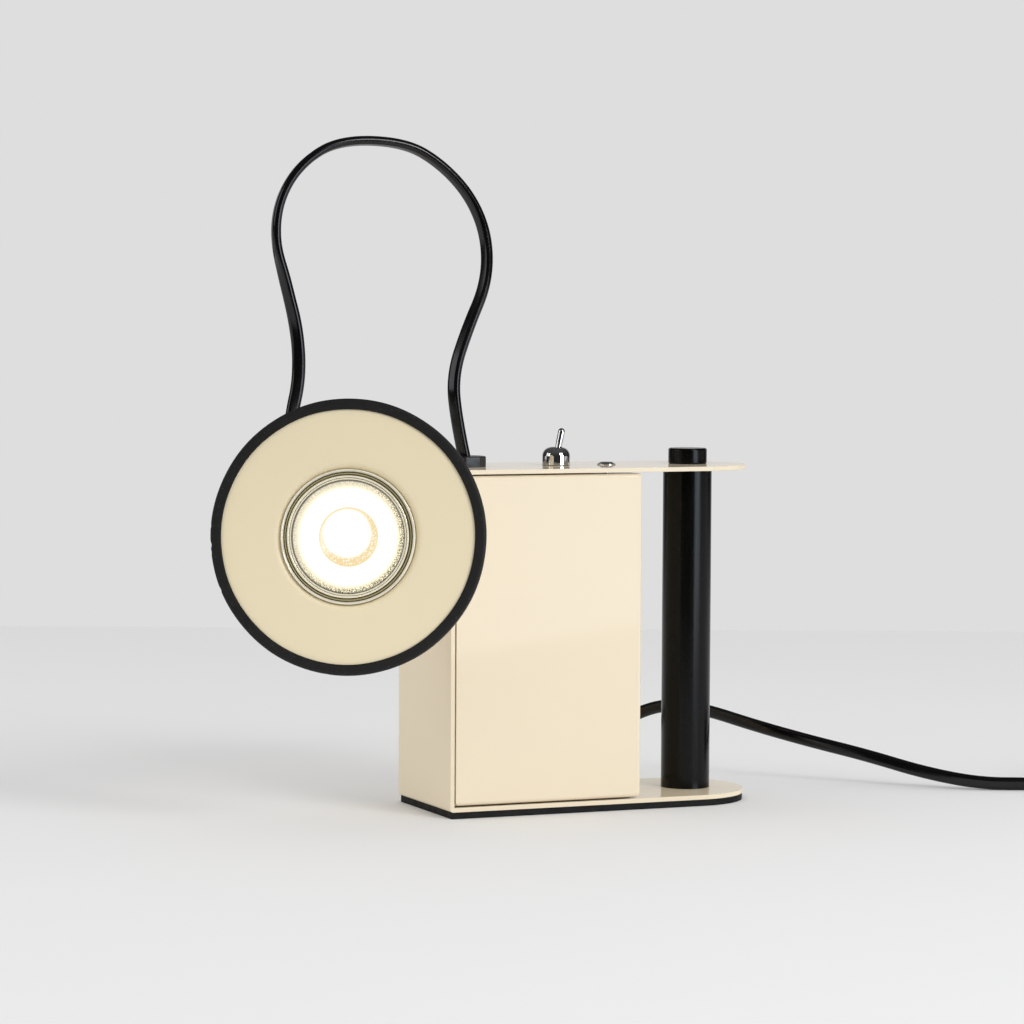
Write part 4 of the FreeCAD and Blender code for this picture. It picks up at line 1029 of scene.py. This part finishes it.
# %% Make the lens
lens_outline = [
    (0, 47.5),
    (11, 47.5),
    (16, 61.2),
    (21, 68.6),
    (23.6, 73.2),
    (23.9, 75.6, 0.3),
    (23.5, 75.6, 0.1),
    (22.8, 75.5),
    (22.0, 75.4),
    (21.2, 75.3),
    (20.4, 75.2),
    (12.8, 74.7),
    (12.4, 74.5),
    (12.0, 74.2),
    (11.0, 73.7),
    (9.0, 73.4),
    (6.0, 73.2),
    (0, 73.1),
]
LOW_RIGHT = math.radians(-42)
EYE_X, EYE_Y = -0.6, 1.4
mesh = lathe("lens", lens_outline, Matrix(), 256)
mark_radius(mesh)
low_right = mesh.attributes.new("low_right", "FLOAT", "POINT")
eye_distance = mesh.attributes.new("eye_distance", "FLOAT", "POINT")
for vertex in mesh.vertices:
    x, y = vertex.co.x * 1000, vertex.co.y * 1000
    low_right.data[vertex.index].value = 0.5 + 0.5 * math.cos(math.atan2(y, x) - LOW_RIGHT)
    eye_distance.data[vertex.index].value = math.hypot(x - EYE_X, y - EYE_Y)
mesh.transform(HEAD)
lens = finished("lens", mesh, lens_glow, "head", 40)
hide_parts("bulb_lens")
print("lens made")

# %% Make the bulb's bowl
bulb_outline = [
    (12.2, 43.7),
    (13.6, 43.7),
    (17.8, 53.7, 2.0),
    (23.6, 68.7, 2.0),
    (24.8, 72.7, 1.0),
    (24.8, 76.6, 0.5),
    (24.1, 76.7, 0.3),
    (23.95, 73.4, 0.3),
    (22.4, 68.9, 1.0),
    (16.5, 54.0, 1.0),
]
mesh = lathe("bulb_bowl", bulb_outline, Matrix(), 256)
mark_radius(mesh)
mesh.transform(HEAD)
bulb_bowl = finished("bulb_bowl", mesh, ring_turned, "head")
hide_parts("bulb_reflector")
print("bulb bowl made")

# %% [markdown]
# ## Finishes on the solids that stay
#
# The other solids already have the right shape, so they keep it and only get their finish. The
# list below reads like a parts list: the finish, then every solid that wears it.

# %% Dress the solids
dressed = [
    (cream_coat, ["frame_shell", "box_cover"]),
    (foot_rubber, ["foot_mat"]),
    (rubber, ["head_gland"]),
    (black_satin, ["grip_column", "column_knob"]),
    (chrome, ["cover_screw_top", "switch_dome_nut", "switch_lever", "switch_bushing"]),
    (chrome, ["pivot_ball"]),
    (bright_steel, ["cover_screw_low", "cover_inserts", "column_screw", "switch_nut", "wall_cup"]),
    (bright_steel, ["wall_cup_screw", "head_cup", "head_rivet", "bulb_pins", "holder_strap"]),
    (bright_steel, ["strap_screws"]),
    (magnet_plate, ["wall_magnet", "head_magnet"]),
    (brass, ["switch_terminals", "clamp_screws"]),
    (black_mould, ["switch_body", "top_gland", "top_gland_nut", "mains_gland_nut"]),
    (white_mould, ["terminal_block", "bulb_base"]),
    (glaze, ["lamp_holder"]),
]
for material, names in dressed:
    for name in names:
        slots = nodes[name].data.materials
        slots.clear()
        slots.append(material)
print("dressed", sum(len(names) for _, names in dressed), "solids")

# %% [markdown]
# ## The table
#
# The lamp stands on a pale matt table in front of a pale wall. The wall is only the world's even
# grey, so nothing hides the lamp from behind. The table's near edge lies just outside the view
# and slants. The glossy cover mirrors the table below that edge's image and a soft box above
# it, and this gives the cover its faint sloping line.

# %% Table
PAINT, PALER_PAINT, DEEPER_PAINT = (0.82, 0.82, 0.82), (0.83, 0.83, 0.83), (0.81, 0.81, 0.81)
# Metres ahead of the camera and metres to its right.
NEAR_EDGE = [(1.165, -4), (1.165, 0.3), (1.138, 0.49), (1.05, 0.76), (0.6, 2.5), (0.6, 4)]
FAR_EDGE = [(2.575, 4), (2.575, -4)]

table_paint, tree, shader = new_finish("table_paint", PAINT, 0.85, Specular_IOR_Level=0.2)
shade = mixed(tree, grain(tree, 0.25, 3.0), PALER_PAINT, DEEPER_PAINT)
tree.links.new(shade, shader.inputs["Base Color"])
add_bump(tree, shader, grain(tree, 0.004, 3.0), 0.00004)

camera_foot = Vector((EYE.x, EYE.y, 0))
corners = [camera_foot + AHEAD * a + ASIDE * b for a, b in NEAR_EDGE + FAR_EDGE]
mesh = bpy.data.meshes.new("table_top")
mesh.from_pydata([tuple(corner) for corner in corners], [], [tuple(range(len(corners)))])
mesh.materials.append(table_paint)
table_top = bpy.data.objects.new("table_top", mesh)
bpy.context.scene.collection.objects.link(table_top)
print("table with", len(corners), "corners in place")

# %% [markdown]
# ## The lamps around it
#
# Three rectangular soft lights do the work. A large window far away, high at the front right,
# throws the soft shadow to the back left. A cooler, level box near the front right is what the
# cover's gloss shows. A wide light far out on the left opens the shaded wall of the frame. None
# of them is seen by the camera itself. Each row below gives where a light stands, where it looks,
# its width and height in metres, and its power in watts.

# %% Light
def soft_light(name, place, aim, width, height, power, colour=(1, 1, 1)):
    """A rectangular soft light at place that looks at aim."""
    lamp = bpy.data.lights.new(name, "AREA")
    lamp.shape = "RECTANGLE"
    lamp.size, lamp.size_y = width, height
    lamp.energy = power
    lamp.color = colour
    holder = bpy.data.objects.new(name, lamp)
    holder.visible_camera = False
    holder.location = place
    holder.rotation_euler = (Vector(aim) - Vector(place)).to_track_quat("-Z", "Y").to_euler()
    bpy.context.scene.collection.objects.link(holder)


COOL = (0.87, 0.96, 1.1)
soft_light("key_light", (0.57, -1.17, 0.13), (0.0, 0.0, 0.13), 0.6, 0.42, 3.7, COOL)
soft_light("window_light", (0.9, -2.47, 1.45), (-0.05, 0.0, 0.08), 1.1, 0.9, 31.0)
soft_light("side_light", (-2.2, 0.1, 0.8), (-0.05, 0.0, 0.1), 1.2, 1.2, 9.0)

# %% [markdown]
# ## The room in the world's colours
#
# The world stands for the rest of the room. The camera sees an even pale wall. Matt surfaces
# get soft light from above and from behind, and none from low in front. Glossy surfaces mirror
# a nearly dark room in front and the pale wall behind, which gives the chrome its contrast and
# the black column its pale edges. Each brightness goes by how high a ray points: 0 is straight
# down, 0.5 is level and 1 is straight up.

# %% Helpers for the world
world = bpy.data.worlds.new("studio")
world.use_nodes = True
room = world.node_tree
direction = room.nodes.new("ShaderNodeTexCoord").outputs["Generated"]
apart = room.nodes.new("ShaderNodeSeparateXYZ")
room.links.new(direction, apart.inputs["Vector"])
height = between(room, apart.outputs["Z"], 0.0, 1.0, -1.0, 1.0)


def sky(stops):
    """Grey light whose brightness changes with the height of the ray."""
    greys = [(where, (value, value, value)) for where, value in stops]
    background = room.nodes.new("ShaderNodeBackground")
    room.links.new(colour_ramp(room, height, greys), background.inputs["Color"])
    return background.outputs["Background"]


def choose(test, no, yes):
    """One light or the other, or a blend of both, by test."""
    mixer = room.nodes.new("ShaderNodeMixShader")
    room.links.new(test, mixer.inputs["Fac"])
    room.links.new(no, mixer.inputs[1])
    room.links.new(yes, mixer.inputs[2])
    return mixer.outputs["Shader"]


def facing(low, high):
    """From 0 for rays that go towards the front to 1 for rays that go to the back wall."""
    towards = room.nodes.new("ShaderNodeVectorMath")
    towards.operation = "DOT_PRODUCT"
    room.links.new(direction, towards.inputs[0])
    towards.inputs[1].default_value = AHEAD
    return between(room, towards.outputs["Value"], 0.0, 1.0, low, high)


print("the world's helpers are ready")

# %% Colour the world
backdrop = room.nodes["Background"]
backdrop.inputs["Color"].default_value = (0.73, 0.73, 0.73, 1)
front = sky([(0.0, 0.0), (0.5, 0.0), (0.75, 0.78), (1.0, 0.78)])
back = sky([(0.0, 0.8), (0.5, 0.8), (0.75, 0.78), (1.0, 0.78)])
fill = choose(facing(-0.6, 0.3), front, back)
dark_room = sky([(0.0, 0.02), (0.5, 0.025), (0.7, 0.04), (1.0, 0.08)])
back_wall = sky([(0.0, 0.5), (0.5, 0.68), (0.6, 0.66), (0.8, 0.2), (1.0, 0.08)])
mirrored = choose(facing(0.7, 0.9), dark_room, back_wall)
ray = room.nodes.new("ShaderNodeLightPath").outputs
unseen = choose(ray["Is Glossy Ray"], fill, mirrored)
all_rays = choose(ray["Is Camera Ray"], unseen, backdrop.outputs["Background"])
room.links.new(all_rays, room.nodes["World Output"].inputs["Surface"])
bpy.context.scene.world = world
print("the world has", len(room.nodes), "nodes")
